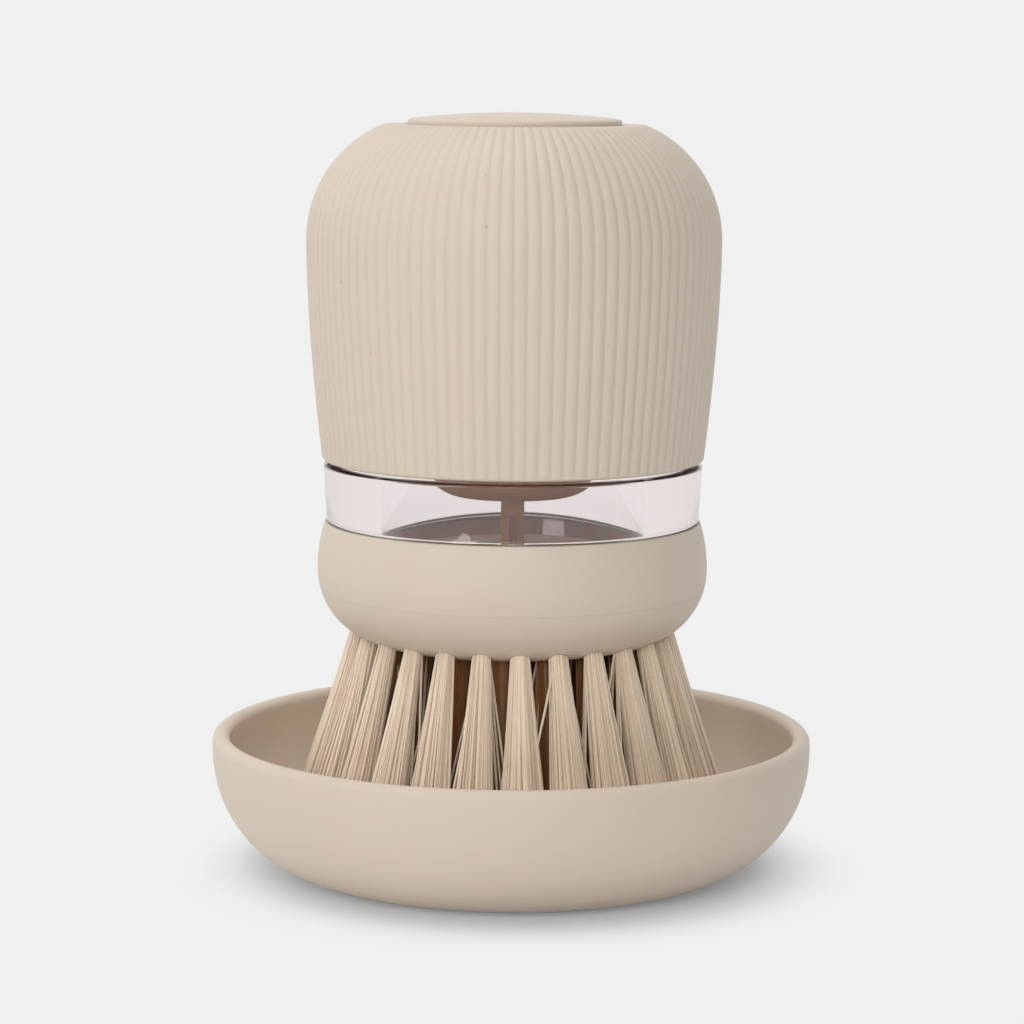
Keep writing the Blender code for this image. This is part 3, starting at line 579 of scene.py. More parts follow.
def finished(mesh: Mesh, sharp_degrees: float, weld: bool = True) -> Piece:
    """Shade a mesh smooth and make its object.

    Args:
        mesh: The raw mesh, in its place.
        sharp_degrees: Edges that turn more than this stay sharp.
        weld: Whether its poles and seams are closed first and its faces turned outwards.

    Returns:
        The object, named as its mesh.
    """
    if weld:
        shape = bmesh.new()
        shape.from_mesh(mesh)
        bmesh.ops.remove_doubles(shape, verts=shape.verts, dist=MERGE_DISTANCE)
        bmesh.ops.recalc_face_normals(shape, faces=shape.faces)
        shape.to_mesh(mesh)
        shape.free()
    mesh.shade_smooth()
    mesh.set_sharp_from_angle(angle=math.radians(sharp_degrees))
    return placed(mesh.name, mesh)


def grid_faces(rows: int, columns: int, wrap_rows: bool) -> np.ndarray:
    """Give the four corners of each cell of a grid whose columns wrap round.

    Args:
        rows: Points along the profile.
        columns: Points round the axis.
        wrap_rows: Whether the last row joins the first.

    Returns:
        Rows of four vertex numbers.
    """
    low, left = np.meshgrid(np.arange(rows if wrap_rows else rows - 1), np.arange(columns),
                            indexing="ij")
    high, right = (low + 1) % rows, (left + 1) % columns
    corners = [low * columns + left, low * columns + right,
               high * columns + right, high * columns + left]
    return np.stack(corners, axis=-1).reshape(-1, 4)


def grid_piece(name: str, points: np.ndarray, wrap_rows: bool = True,
               sharp_degrees: float = 35.0) -> Piece:
    """Make an object from a grid of points whose columns wrap round.

    Args:
        name: The object's name.
        points: Array of rows by columns by x, y, z, in millimetres.
        wrap_rows: Whether the last row joins the first.
        sharp_degrees: Edges that turn more than this stay sharp.

    Returns:
        The object.
    """
    rows, columns = points.shape[:2]
    mesh = raw_mesh(name, points, [grid_faces(rows, columns, wrap_rows)])
    return finished(mesh, sharp_degrees)


def turned(name: str, outline: np.ndarray, columns: int) -> Piece:
    """Turn an outline round the axis.

    Args:
        name: The object's name.
        outline: Rows of radius and height in millimetres. One that starts and ends on the axis
            is a solid with two poles; any other closes into a ring.
        columns: Points round the axis.

    Returns:
        The object.
    """
    ring = bool(outline[0, 0] > 0 or outline[-1, 0] > 0)
    return grid_piece(name, carried_round(outline[:, :1], outline[:, 1:], columns), ring)


def span_of(node: str) -> tuple[float, float]:
    """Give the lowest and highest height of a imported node, in millimetres."""
    low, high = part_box(node)
    return low.z / MM, high.z / MM


@dataclass
class Outfitter:
    """Hands out finishes and ties each piece to its body, its slot and the node it stands for."""

    shell: MouldedPlastic
    finishes: dict[Slot, Material]

    def dress(self, piece: Piece, body: Body, slot: Slot, node: str,
              own: Finish | None = None) -> None:
        """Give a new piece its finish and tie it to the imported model.

        Args:
            piece: The new piece, in its place.
            body: The body that it rides on.
            slot: The record's slot that its finish comes from.
            node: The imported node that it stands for.
            own: A variant of the slot's finish, for this piece alone.
        """
        piece.data.materials.append(own.material() if own else self.finishes[slot])
        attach(piece, body.value)
        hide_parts(node)
        LOG.info("%s rides on %s in %s, %d faces", piece.name, body.value, slot.value,
                 len(piece.data.polygons))

    def dress_node(self, node: str, slot: Slot) -> None:
        """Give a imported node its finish, and keep its shape."""
        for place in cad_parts[node].material_slots:
            place.material = self.finishes[slot]


# Sub-assemblies, with sizes in millimetres


@dataclass
class SubAssembly:
    """Pieces that are made together, each dressed by the outfitter.

    In a table of corners the third number is the reach of the corner's round.
    """

    outfitter: Outfitter


@dataclass
class StorageDish(SubAssembly):
    """The shallow dish: flat foot, elliptic belly and a thick rolled rim."""

    foot_radius: float = 28.4
    belly_height: float = 18.1
    wall: float = 2.6
    columns: int = 288
    curve_steps: int = 30

    def build(self) -> None:
        """Make the dish: foot, outer quarter ellipse, round rim and inner quarter ellipse."""
        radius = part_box("storage_dish")[1].x / MM
        height = span_of("storage_dish")[1]
        foot = (self.foot_radius, self.belly_height)
        inner = radius - self.wall
        rim = self.wall / 2
        outline = np.concatenate([
            [[0.0, 0.0]], ellipse_arc(foot, (radius - foot[0], foot[1]), -90, 0, self.curve_steps),
            ellipse_arc((radius - rim, height - rim), (rim, rim), 0, 180, self.curve_steps // 2),
            ellipse_arc(foot, (inner - foot[0], foot[1] - self.wall), 0, -90, self.curve_steps),
            [[0.0, self.wall]]])
        piece = turned("dish_fine", outline, self.columns)
        self.outfitter.dress(piece, Body.DISH, Slot.SHELL, "storage_dish")


@dataclass
class TuftRow:
    """One ring of tufts: how many, where they start, and how they flare."""

    name: str
    node: str
    tufts: int
    radius: float
    slant_degrees: float
    filaments: int
    seed: int
    # mean tone; near 1 the ring is painted dark tan as shade between the tufts
    warmth_and_shade: float
    first_degrees: float = -87.0
    root_radius: float = 1.2
    tip_radius: float = 3.05
    tip_width: float = 3.7

    def angles(self) -> np.ndarray:
        """Give each tuft's angle round the axis."""
        return np.radians(self.first_degrees) + ring_angles(self.tufts)

    def centres(self) -> np.ndarray:
        """Give the x and y of each tuft's hole on the head's underside."""
        return self.radius * np.stack([np.cos(self.angles()), np.sin(self.angles())], axis=1)


@dataclass
class BrushHead(SubAssembly):
    """The round head: upper shell, lower shell with its tuft holes, and the bristles.

    Heights are above the head's flat underside. A spread is the standard deviation of how far
    the filaments differ.
    """

    radius: float = 29.2
    height: float = 18.2
    belly_height: float = 11.0
    under_round: float = 10.9
    top_radius: float = 28.1
    top_round: float = 0.5
    seam_height: float = 8.1
    seam_gap: float = 0.004
    seam_round: float = 0.03
    socket_radius: float = 25.3
    socket_floor: float = 11.6
    floor_radius: float = 19.2
    floor_height: float = 16.8
    floor_thickness: float = 2.0
    warm_shade_margin: float = 0.15
    web_underside: float = 10.0
    hub_bore: float = 3.6
    hub_radius: float = 6.5
    seat_recess: float = 4.9
    seat_floor: float = 14.1
    spigot_radius: float = 26.2
    spigot_wall: float = 1.8
    spigot_gap: float = 0.3
    plate_top: float = 6.5
    plate_edge: float = 25.0
    hole_radius: float = 1.52
    hole_depth: float = 1.5
    hole_edge: float = 0.3
    columns: int = 256
    hole_columns: int = 780
    filament_radius: float = 0.16
    filament_sides: int = 4
    filament_rings: int = 5
    filament_sharp_degrees: float = 75.0
    bristle_length: float = 30.0
    flare_power: float = 1.05
    root_share: float = 0.8
    trim_reach: float = 0.35
    place_spread: float = 0.03
    side_spread: float = 0.26
    bow_spread: float = 0.035
    tilt_spread: float = 0.22
    tone_spread: float = 0.09
    width_range: tuple[float, float] = (0.93, 1.05)
    stray_share: float = 0.06
    stray_spread: float = 3.0
    stray_pull: float = 0.4
    rows: list[TuftRow] = field(default_factory=lambda: [
        # the middle and inner rings carry painted shade through their high tone
        TuftRow("outer_tufts", "outer_bristles", 26, 22.8, 15.8, 195, 11, 0.08),
        TuftRow("middle_tufts", "middle_bristles", 18, 18.6, 10.5, 115, 12, 0.98, -95.0),
        TuftRow("inner_tufts", "inner_bristles", 10, 10.2, 4.0, 100, 13, 0.95)])

    def datum(self) -> float:
        """Give the height of the head's flat underside above the table."""
        return span_of("head_collar")[1] - self.height

    def under_height(self, radius: np.ndarray) -> np.ndarray:
        """Give the height of the underside at a radius: a quarter ellipse that starts flat."""
        share = np.clip((radius - self.radius + self.under_round) / self.under_round, 0, 1)
        return self.belly_height * (1 - np.sqrt(1 - share ** 2))

    def skin(self, start: float, end: float, steps: int) -> np.ndarray:
        """Give the head's outer profile between two heights.

        Below the belly it is the quarter ellipse; above it the radius falls with the square of
        the height, down to the top edge.

        Args:
            start: First height.
            end: Last height.
            steps: Pieces in the profile.

        Returns:
            Rows of radius and height.
        """
        height = np.linspace(start, end, steps + 1)
        low = np.clip((self.belly_height - height) / self.belly_height, 0, 1)
        high = np.clip((height - self.belly_height) / (self.height - self.belly_height), 0, 1)
        under = self.under_round * (np.sqrt(1 - low ** 2) - 1)
        radius = self.radius + under - (self.radius - self.top_radius) * high ** 2
        return np.stack([radius, height], axis=1)

    def build_collar(self) -> None:
        """Make the upper shell with its socket, reservoir floor and hub."""
        seam = self.seam_height + self.seam_gap
        skirt = self.spigot_radius + self.spigot_gap
        pocket_top = self.floor_height - self.floor_thickness
        pocket = self.floor_radius - self.floor_thickness
        side = self.skin(seam + self.seam_round, self.height - self.top_round, 24)
        corners = [
            (*self.skin(seam, seam + 1, 1)[0], self.seam_round), *[(*row, 0.0) for row in side],
            (self.top_radius, self.height, 0.9 * self.top_round),
            (self.socket_radius, self.height, 0.3), (self.socket_radius, self.socket_floor, 0.3),
            (self.floor_radius, self.socket_floor, 0.3),
            (self.floor_radius, self.floor_height, 0.3),
            (self.seat_recess, self.floor_height, 0.15), (self.seat_recess, self.seat_floor, 0),
            (self.hub_bore, self.seat_floor, 0), (self.hub_bore, self.web_underside, 0),
            (self.hub_radius, self.web_underside, 0), (self.hub_radius, pocket_top, 0.5),
            (pocket, pocket_top, 0.5), (pocket, self.web_underside, 0.3),
            (skirt, self.web_underside, 0), (skirt, seam, 0.1)]
        piece = turned("head_collar_fine", rounded(corners) + [0, self.datum()], self.columns)
        # painted warm shade over the socket where the clear reservoir sits, standing in for the dim
        # warm light there
        warm_shade = replace(self.outfitter.shell, name="abs_moulded_cream_warm_shaded",
                       warm_shade_radius_mm=self.socket_radius + self.warm_shade_margin,
                       warm_shade_base_mm=self.datum() + self.socket_floor - 2 * self.warm_shade_margin)
        self.outfitter.dress(piece, Body.HEAD, Slot.SHELL, "head_collar", warm_shade)

    def hole_sink(self, x: np.ndarray, y: np.ndarray) -> np.ndarray:
        """Give how far the underside sinks at each point: a soft-edged well at every tuft.

        With d the distance to the nearest tuft's centre, the sink is the hole's depth times a
        smooth step that rises from 0 at the hole's rim to 1 one edge width further in.

        Args:
            x: Places across.
            y: Places in depth.

        Returns:
            The sink at each place.
        """
        centres = np.concatenate([row.centres() for row in self.rows])
        gap = np.hypot(x[..., None] - centres[:, 0], y[..., None] - centres[:, 1]).min(axis=-1)
        share = np.clip((self.hole_radius - gap) / self.hole_edge, 0, 1)
        return self.hole_depth * share ** 2 * (3 - 2 * share)

    def build_plate(self) -> None:
        """Make the lower shell, whose underside is pierced by the tuft holes."""
        seam = self.seam_height - self.seam_gap
        plain, fine = 0.8, 0.24  # steps between the rings of holes and across them
        radii = np.concatenate([
            np.arange(self.hub_bore + 0.2, 8.2, plain), np.arange(8.4, 12.1, fine),
            np.arange(13.0, 16.0, plain), np.arange(16.2, 24.9, fine)])
        under = np.stack([radii, self.under_height(radii)], axis=1)
        edge = float(self.under_height(np.array(self.plate_edge)))
        spigot, bore = self.spigot_radius, self.spigot_radius - self.spigot_wall
        spigot_top = self.web_underside - self.spigot_gap
        inner = rounded([
            (spigot, seam, 0.1), (spigot, spigot_top, 0.2), (bore, spigot_top, 0.2),
            (bore, self.plate_top, 0.3), (self.hub_bore, self.plate_top, 0.2),
            (self.hub_bore, 0.15, 0.1)], closed=False)
        side = self.skin(edge, seam - self.seam_round, 26)
        lip = self.skin(seam, seam + 1, 1)[:1] - [self.seam_round, 0]
        outline = np.concatenate([under, side, lip, inner])
        points = carried_round(outline[:, :1], outline[:, 1:], self.hole_columns)
        pierced = points[:len(under)]
        pierced[..., 2] += self.hole_sink(pierced[..., 0], pierced[..., 1])
        points[..., 2] += self.datum()
        self.outfitter.dress(grid_piece("tuft_plate_fine", points), Body.HEAD, Slot.SHELL,
                             "tuft_plate")

    def strand_paths(self, row: TuftRow) -> tuple[np.ndarray, np.ndarray]:
        """Lay out the centre lines of one ring's filaments.

        Inside a tuft the filaments fill a disc like sunflower seeds: the k-th lies at radius
        sqrt(k/n) and angle k times the golden angle. From root to tip its place moves from the
        hole's disc to a wider ellipse at the tip by a power of the way down, with a small bow of
        its own. A few strays lean out sideways.

        Args:
            row: The ring of tufts.

        Returns:
            Centre lines as strands by rings by x, y, z, and each strand's tone from 0 to 1.
        """
        chance = np.random.default_rng(row.seed)
        shape, each_tuft = (row.tufts, row.filaments), (row.tufts, 1)
        seed = np.arange(row.filaments) + 0.5
        reach = np.sqrt(seed / row.filaments)
        spin = seed * math.pi * (3 - math.sqrt(5)) + chance.uniform(0, FULL_TURN, each_tuft)
        out = reach * np.cos(spin) + chance.normal(0, self.place_spread, shape)
        side = reach * np.sin(spin) + chance.normal(0, self.place_spread, shape)
        stray = chance.random(shape) < self.stray_share
        wild = np.where(stray, chance.normal(0, self.stray_spread, shape),
                        chance.normal(0, self.side_spread, shape))
        bow_out, bow_side = chance.normal(0, self.bow_spread, (2, *shape))
        width = row.tip_width * chance.uniform(*self.width_range, each_tuft)
        tilt = chance.normal(0, self.tilt_spread, each_tuft)
        trim = chance.uniform(0, self.trim_reach, shape)
        down = np.linspace(0, 1, self.filament_rings)
        flare, arch = down ** self.flare_power, np.sin(math.pi * down)
        root_up = float(self.under_height(np.array(row.radius)))
        lean = math.tan(math.radians(row.slant_degrees)) * (self.bristle_length + root_up)
        root_out, root_side = out * row.root_radius, side * row.root_radius
        pull = np.where(stray, -np.abs(wild) * self.stray_pull, 0)
        tip_out = out * row.tip_radius + lean + pull
        tip_side = side * width + wild + tilt
        along = (root_out[..., None] + (tip_out - root_out)[..., None] * flare
                 + bow_out[..., None] * arch) + row.radius
        across = (root_side[..., None] + (tip_side - root_side)[..., None] * flare
                  + bow_side[..., None] * arch)
        start = root_up + self.hole_depth * self.root_share
        height = start + (-self.bristle_length + trim - start)[..., None] * down
        angle = row.angles()[:, None, None]
        x = along * np.cos(angle) - across * np.sin(angle)
        y = along * np.sin(angle) + across * np.cos(angle)
        paths = np.stack([x, y, height + self.datum()], axis=-1)
        # painted shade: the ring's mean tone; strays keep tone 0
        tone = np.where(stray, 0, chance.normal(row.warmth_and_shade, self.tone_spread, shape))
        return paths.reshape(-1, self.filament_rings, 3), np.clip(tone, 0, 1).reshape(-1)

    def build_tufts(self, row: TuftRow) -> None:
        """Make one ring's filaments as thin round tubes with level rings and closed ends.

        Args:
            row: The ring of tufts.
        """
        paths, tone = self.strand_paths(row)
        rings, sides = self.filament_rings, self.filament_sides
        turn = ring_angles(sides)
        circle = self.filament_radius * np.stack([np.cos(turn), np.sin(turn), 0 * turn], axis=-1)
        first = np.arange(len(paths))[:, None] * rings * sides
        walls = (first[..., None] + grid_faces(rings, sides, wrap_rows=False)).reshape(-1, 4)
        rim = np.arange(sides)
        tips = first + (rings - 1) * sides + rim[::-1]
        mesh = raw_mesh(row.name, paths[:, :, None, :] + circle,
                        [walls[:, ::-1], first + rim, tips])
        mark = mesh.attributes.new(TONE, "FLOAT", "POINT")
        mark.data.foreach_set("value", np.repeat(tone, rings * sides).astype(np.float32))
        piece = finished(mesh, self.filament_sharp_degrees, weld=False)
        self.outfitter.dress(piece, Body.HEAD, Slot.FIBRE, row.node)

    def build(self) -> None:
        """Make the head's shells and bristles."""
        self.build_collar()
        self.build_plate()
        for row in self.rows:
            self.build_tufts(row)


@dataclass
class SoapReservoir(SubAssembly):
    """The clear reservoir: neck in the socket, thick window band, thin liner in the cover."""

    window_radius: float = 27.86
    window_top_radius: float = 28.3
    window_height: float = 8.6
    window_bore: float = 19.5
    neck_radius: float = 25.0
    neck_height: float = 4.8
    liner_radius: float = 26.57
    liner_bore: float = 24.47
    flare_start: float = 2.0
    flare: float = 7.0
    columns: int = 256

    def build(self) -> None:
        """Make the reservoir, whose bore flares by a quarter ellipse from window to liner."""
        base, liner_top = span_of("clear_reservoir")
        band = base + self.neck_height
        top = band + self.window_height
        flare_centre = (self.window_bore, top + self.flare_start + self.flare)
        flare = ellipse_arc(flare_centre, (self.liner_bore - self.window_bore, self.flare),
                            0, -90, 14)
        outline = rounded([
            (self.window_bore, base, 0.3), (self.neck_radius, base, 0.4),
            (self.neck_radius, band, 0.2), (self.window_radius, band, 0.5),
            (self.window_top_radius, top, 0.35), (self.liner_radius, top, 0.2),
            (self.liner_radius, liner_top, 0.3), (self.liner_bore, liner_top, 0.3),
            *[(*point, 0.0) for point in flare]])
        piece = turned("reservoir_fine", outline, self.columns)
        self.outfitter.dress(piece, Body.HANDLE, Slot.CLEAR, "clear_reservoir")


@dataclass
class InnerHousing(SubAssembly):
    """The housing inside the grip: round-bottomed well, flange and the button's guide tube."""

    stem_hole: float = 2.05
    well_radius: float = 14.7
    well_wall: float = 1.8
    well_round: float = 7.3
    well_floor: float = 3.4
    seal_recess: float = 4.6
    seal_floor: float = 1.2
    flange_radius: float = 26.57
    flange_thickness: float = 1.8
    gasket: float = 1.8
    tube_bore: float = 16.45
    tube_wall: float = 1.8
    ledge_drop: float = 7.1
    columns: int = 160

    def build(self) -> None:
        """Make the housing, whose well has quarter circles at its bottom."""
        base, top = span_of("inner_housing")
        low = span_of("clear_reservoir")[1] + self.gasket
        high = low + self.flange_thickness
        bore = self.well_radius - self.well_wall
        tube = self.tube_bore + self.tube_wall
        outer, inner = self.well_round, self.well_round - self.well_wall
        ledge = top - self.ledge_drop
        outline = np.concatenate([
            [[self.stem_hole, base]],
            ellipse_arc((self.well_radius - outer, base + outer), (outer, outer), -90, 0, 16),
            rounded([(self.well_radius, low, 0.0), (self.flange_radius, low, 0.3),
                     (self.flange_radius, high, 0.3), (tube, high, 0.5), (tube, top, 0.3),
                     (self.tube_bore, top, 0.3), (self.tube_bore, ledge, 0.2),
                     (bore, ledge, 0.0)], closed=False),
            ellipse_arc((bore - inner, base + self.well_floor + inner), (inner, inner), 0, -90, 12),
            [[self.seal_recess, base + self.well_floor], [self.seal_recess, base + self.seal_floor],
             [self.stem_hole, base + self.seal_floor]]])
        piece = turned("housing_fine", outline, self.columns)
        self.outfitter.dress(piece, Body.HANDLE, Slot.INNER, "inner_housing")


@dataclass
class GripCover(SubAssembly):
    """The bell-shaped grip cover with its hundred soft ribs."""

    radius: float = 30.82
    foot_radius: float = 28.47
    shoulder_radius: float = 18.42
    top_radius: float = 19.45
    taper_power: float = 1.7
    foot_round: float = 0.7
    foot_wall: float = 1.6
    foot_share: float = 0.85
    top_wall: float = 2.2
    opening: float = 16.15
    ribs: int = 100
    rib_depth: float = 0.20
    rib_power: float = 0.75
    top_share: float = 0.6
    columns_per_rib: int = 8
    sharp_degrees: float = 60.0
    # how far the painted shade darkens the grooves
    groove_shade_weight: float = 0.16
    ceiling_round: float = 7.9
    ceiling_depth: float = 12.4

    def outer_profile(self) -> np.ndarray:
        """Give the outer profile from the foot to the edge of the button's opening.

        The side's radius is R - (R - F) (1 - h)^p, with h the share of the side's height and F
        the foot's radius. Above it a circular shoulder runs to the flat top, where the ribs are
        shallower.

        Returns:
            Rows of radius, height, outward share, upward share and share of the rib's depth.
        """
        base, top = span_of("grip_cover")
        centre = self.radius - self.shoulder_radius
        rise = math.sqrt(self.shoulder_radius ** 2 - (self.top_radius - centre) ** 2)
        belly = top - rise
        share = np.linspace(self.foot_round / (belly - base), 1, 20)
        side = np.stack([
            self.radius - (self.radius - self.foot_radius) * (1 - share) ** self.taper_power,
            base + (belly - base) * share, 1 + 0 * share, 0 * share, 1 + 0 * share], axis=1)
        turn = np.linspace(0, math.asin(rise / self.shoulder_radius), 27)[1:]
        shoulder = np.stack([
            centre + self.shoulder_radius * np.cos(turn),
            belly + self.shoulder_radius * np.sin(turn),
            np.cos(turn), np.sin(turn), np.linspace(1, self.top_share, len(turn))], axis=1)
        curl = np.radians(np.linspace(-90, 0, 7))[:-1]
        foot = np.stack([
            side[0, 0] - self.foot_round + self.foot_round * np.cos(curl),
            base + self.foot_round + self.foot_round * np.sin(curl),
            1 + 0 * curl, 0 * curl, np.linspace(0, self.foot_share, len(curl))], axis=1)
        # the flat in two rows, and the small round at the opening's edge in two more
        edge, ribbed = self.opening, self.top_share
        flat = np.array([
            [edge + 1.6, top, 0, 1, ribbed], [edge + 0.35, top, 0, 1, ribbed],
            [edge + 0.1, top - 0.08, 0.3, 0.9, ribbed], [edge, top - 0.3, 0, 1, ribbed - 0.1]])
        return np.concatenate([foot, side, shoulder, flat])

    def inner_profile(self) -> np.ndarray:
        """Give the smooth inside, from the opening's lower edge back down to the foot.

        Returns:
            Rows as outer_profile gives them, with no rib.
        """
        base, top = span_of("grip_cover")
        bore = self.foot_radius - self.foot_wall
        ceiling = top - self.top_wall
        arch = ellipse_arc((bore - self.ceiling_round, ceiling - self.ceiling_depth),
                           (self.ceiling_round, self.ceiling_depth), 90, 0, 8)
        points = np.concatenate([
            [[self.opening, ceiling]], arch, [[bore, base + 0.4], [bore + 0.3, base]]])
        return np.concatenate([points, np.zeros((len(points), 3))], axis=1)

    def build(self) -> None:
        """Make the cover.

        Each point sinks along the outward direction by depth * (1 - |sin(N a / 2)|^p), so that
        round ribs meet in narrow grooves.
        """
        rows = np.concatenate([self.outer_profile(), self.inner_profile()])
        columns = self.ribs * self.columns_per_rib
        angle = ring_angles(columns)
        sink = self.rib_depth * (1 - np.abs(np.sin(self.ribs * angle / 2)) ** self.rib_power)
        radius = rows[:, :1] - rows[:, 4:] * rows[:, 2:3] * sink
        height = rows[:, 1:2] - rows[:, 4:] * rows[:, 3:4] * sink
        piece = grid_piece("grip_cover_fine", carried_round(radius, height, columns),
                           sharp_degrees=self.sharp_degrees)
        # groove depth, 0 on the ribs to 1 at a groove's floor, where the painted shade is laid
        mark = piece.data.attributes.new(GROOVE, "FLOAT", "POINT")
        depth = rows[:, 4:] * sink / self.rib_depth
        mark.data.foreach_set("value", depth.reshape(-1).astype(np.float32))
        ribbed = replace(self.outfitter.shell, name="abs_moulded_cream_ribbed_shaded_grooves",
                         groove_shade_weight=self.groove_shade_weight)
        self.outfitter.dress(piece, Body.HANDLE, Slot.SHELL, "grip_cover", ribbed)


@dataclass
class PushButton(SubAssembly):
    """The domed button with its rim, its snap skirt and the boss that grips the stem."""

    radius: float = 15.85
    dome: float = 0.95
    edge_round: float = 0.55
    crown_start: float = 1.2
    crown_gap: float = 0.4
    thickness: float = 2.8
    rim_wall: float = 1.65
    rim_depth: float = 5.0
    skirt_radius: float = 11.2
    skirt_wall: float = 1.6
    skirt_flange: float = 1.4
    flange_radius: float = 12.6
    boss_radius: float = 4.2
    boss_depth: float = 9.6
    bore: float = 2.05
    columns: int = 192

    def build(self) -> None:
        """Make the button: its crown is a shallow parabola over a rounded edge."""
        skirt_base, top = span_of("push_button")
        edge = top - self.dome
        under = edge - self.thickness
        boss_base = under - self.boss_depth
        flange_top = skirt_base + self.skirt_flange
        rim_base, rim = edge - self.rim_depth, self.radius - self.rim_wall
        skirt = self.skirt_radius - self.skirt_wall
        start = 1 - self.crown_start / self.radius
        below = rounded([
            (0.0, under - 0.3, 0.0), (self.bore, under - 0.3, 0.0), (self.bore, boss_base, 0.2),
            (self.boss_radius, boss_base, 0.3), (self.boss_radius, under, 0.5),
            (skirt, under, 0.4), (skirt, skirt_base, 0.2), (self.flange_radius, skirt_base, 0.3),
            (self.flange_radius, flange_top, 0.2), (self.skirt_radius, flange_top, 0.0),
            (self.skirt_radius, under, 0.4), (rim, under, 0.4), (rim, rim_base, 0.2),
            (self.radius, rim_base, 0.2), (self.radius, edge, self.edge_round),
            (self.radius - self.crown_start, edge + self.dome * (1 - start ** 2), 0.0)],
            closed=False)
        share = np.linspace(1 - (self.crown_start + self.crown_gap) / self.radius, 0, 16)
        crown = np.stack([self.radius * share, edge + self.dome * (1 - share ** 2)], axis=1)
        piece = turned("push_button_fine", np.concatenate([below, crown]), self.columns)
        self.outfitter.dress(piece, Body.PLUNGER, Slot.SHELL, "push_button")


@dataclass
class Plunger(SubAssembly):
    """The stem with its flutes and clip groove, and the spring round it."""

    radius: float = 1.75
    bevel: float = 0.2
    groove_depth: float = 0.5
    groove_margin: float = 0.3
    flutes: int = 4
    flute_width: float = 0.9
    flute_depth: float = 0.6
    flute_base_above_tip: float = 3.5
    flute_length: float = 3.2
    flute_step: float = 0.05
    columns: int = 96
    spring_radius: float = 4.5
    wire: float = 0.8
    turns: int = 7
    points_per_turn: int = 32
    wire_sides: int = 12
    wire_sharp_degrees: float = 60.0
    travel: float = 3.0

    def build_stem(self) -> None:
        """Make the stem.

        Between the flutes' ends the radius is capped at (R - depth) / cos a, where a is the
        angle from the nearest flute's middle, inside the flute's width: a flat-bottomed groove.
        """
        base, top = span_of("plunger_stem")
        clip_base, clip_top = span_of("stem_clip")
        low, high = clip_base - self.groove_margin, clip_top + self.groove_margin
        flute_base = base + self.flute_base_above_tip
        flute_top = flute_base + self.flute_length
        full, waist, tip = self.radius, self.radius - self.groove_depth, self.radius - self.bevel
        outline = np.array([
            [0, base], [tip, base], [full, base + self.bevel],
            [full, flute_base - self.flute_step], [full, flute_base],
            [full, flute_top], [full, flute_top + self.flute_step],
            [full, low], [waist, low], [waist, high], [full, high],
            [full, top - self.bevel], [tip, top], [0, top]])
        pitch = FULL_TURN / self.flutes
        off = (ring_angles(self.columns) + pitch / 2) % pitch - pitch / 2
        cut = np.abs(full * np.sin(off)) <= self.flute_width / 2
        radius = outline[:, :1] + 0 * off
        radius[4:6] = np.where(cut, (full - self.flute_depth) / np.cos(off), radius[4:6])
        points = carried_round(radius, outline[:, 1:], self.columns)
        piece = grid_piece("stem_fine", points, wrap_rows=False)
        self.outfitter.dress(piece, Body.PLUNGER, Slot.INNER, "plunger_stem")

    def build_spring(self) -> None:
        """Wind the spring: a round section carried along a helix, with flat-ended wire.

        The centre line is (R cos a, R sin a, c a). Each section is a circle across the line.
        """
        base, top = span_of("return_spring")
        half, sides = self.wire / 2, self.wire_sides
        count = self.turns * self.points_per_turn + 1
        angle = np.linspace(0, self.turns * FULL_TURN, count)[:, None]
        rise = (top - base - self.wire) / (self.turns * FULL_TURN)
        turn = ring_angles(sides)
        reach = self.spring_radius + half * np.cos(turn)
        slope = math.hypot(self.spring_radius, rise)
        up = half * np.sin(turn) * self.spring_radius / slope
        back = -half * np.sin(turn) * rise / slope
        points = np.stack([
            reach * np.cos(angle) - back * np.sin(angle),
            reach * np.sin(angle) + back * np.cos(angle), base + half + rise * angle + up], axis=-1)
        rim = np.arange(sides)
        ends = np.stack([rim, (count - 1) * sides + rim[::-1]])
        mesh = raw_mesh("spring_fine", points, [grid_faces(count, sides, wrap_rows=False), ends])
        piece = finished(mesh, self.wire_sharp_degrees)
        self.outfitter.dress(piece, Body.HANDLE, Slot.STEEL, "return_spring")
        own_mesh(piece)

    def build(self) -> None:
        """Make the stem and the spring."""
        self.build_stem()
        self.build_spring()


@dataclass(frozen=True)
class Lamp:
    """A soft round lamp that faces the object, seen from the camera's side.

    Its level is how bright it alone makes a white surface that faces it, with 1 as white. A
    round lamp of P watts at distance d gives P / (pi d)^2, so P = level (pi d)^2.
    """

    name: str
    azimuth_degrees: float
    elevation_degrees: float
    distance: float
    width: float
    level: float

    def build(self, aim: Vector) -> None:
        """Hang the lamp.

        Args:
            aim: The point that it faces, in metres.
        """
        lamp = bpy.data.lights.new(self.name, "AREA")
        lamp.shape = "DISK"
        lamp.size = self.width
        lamp.energy = self.level * (math.pi * self.distance) ** 2
        turn, rise = math.radians(self.azimuth_degrees), math.radians(self.elevation_degrees)
        way = Vector((math.cos(rise) * math.sin(turn), -math.cos(rise) * math.cos(turn),
                      math.sin(rise)))
        holder = placed(self.name, lamp)
        holder.location = aim + self.distance * way
        holder.rotation_euler = (-way).to_track_quat("-Z", "Y").to_euler()


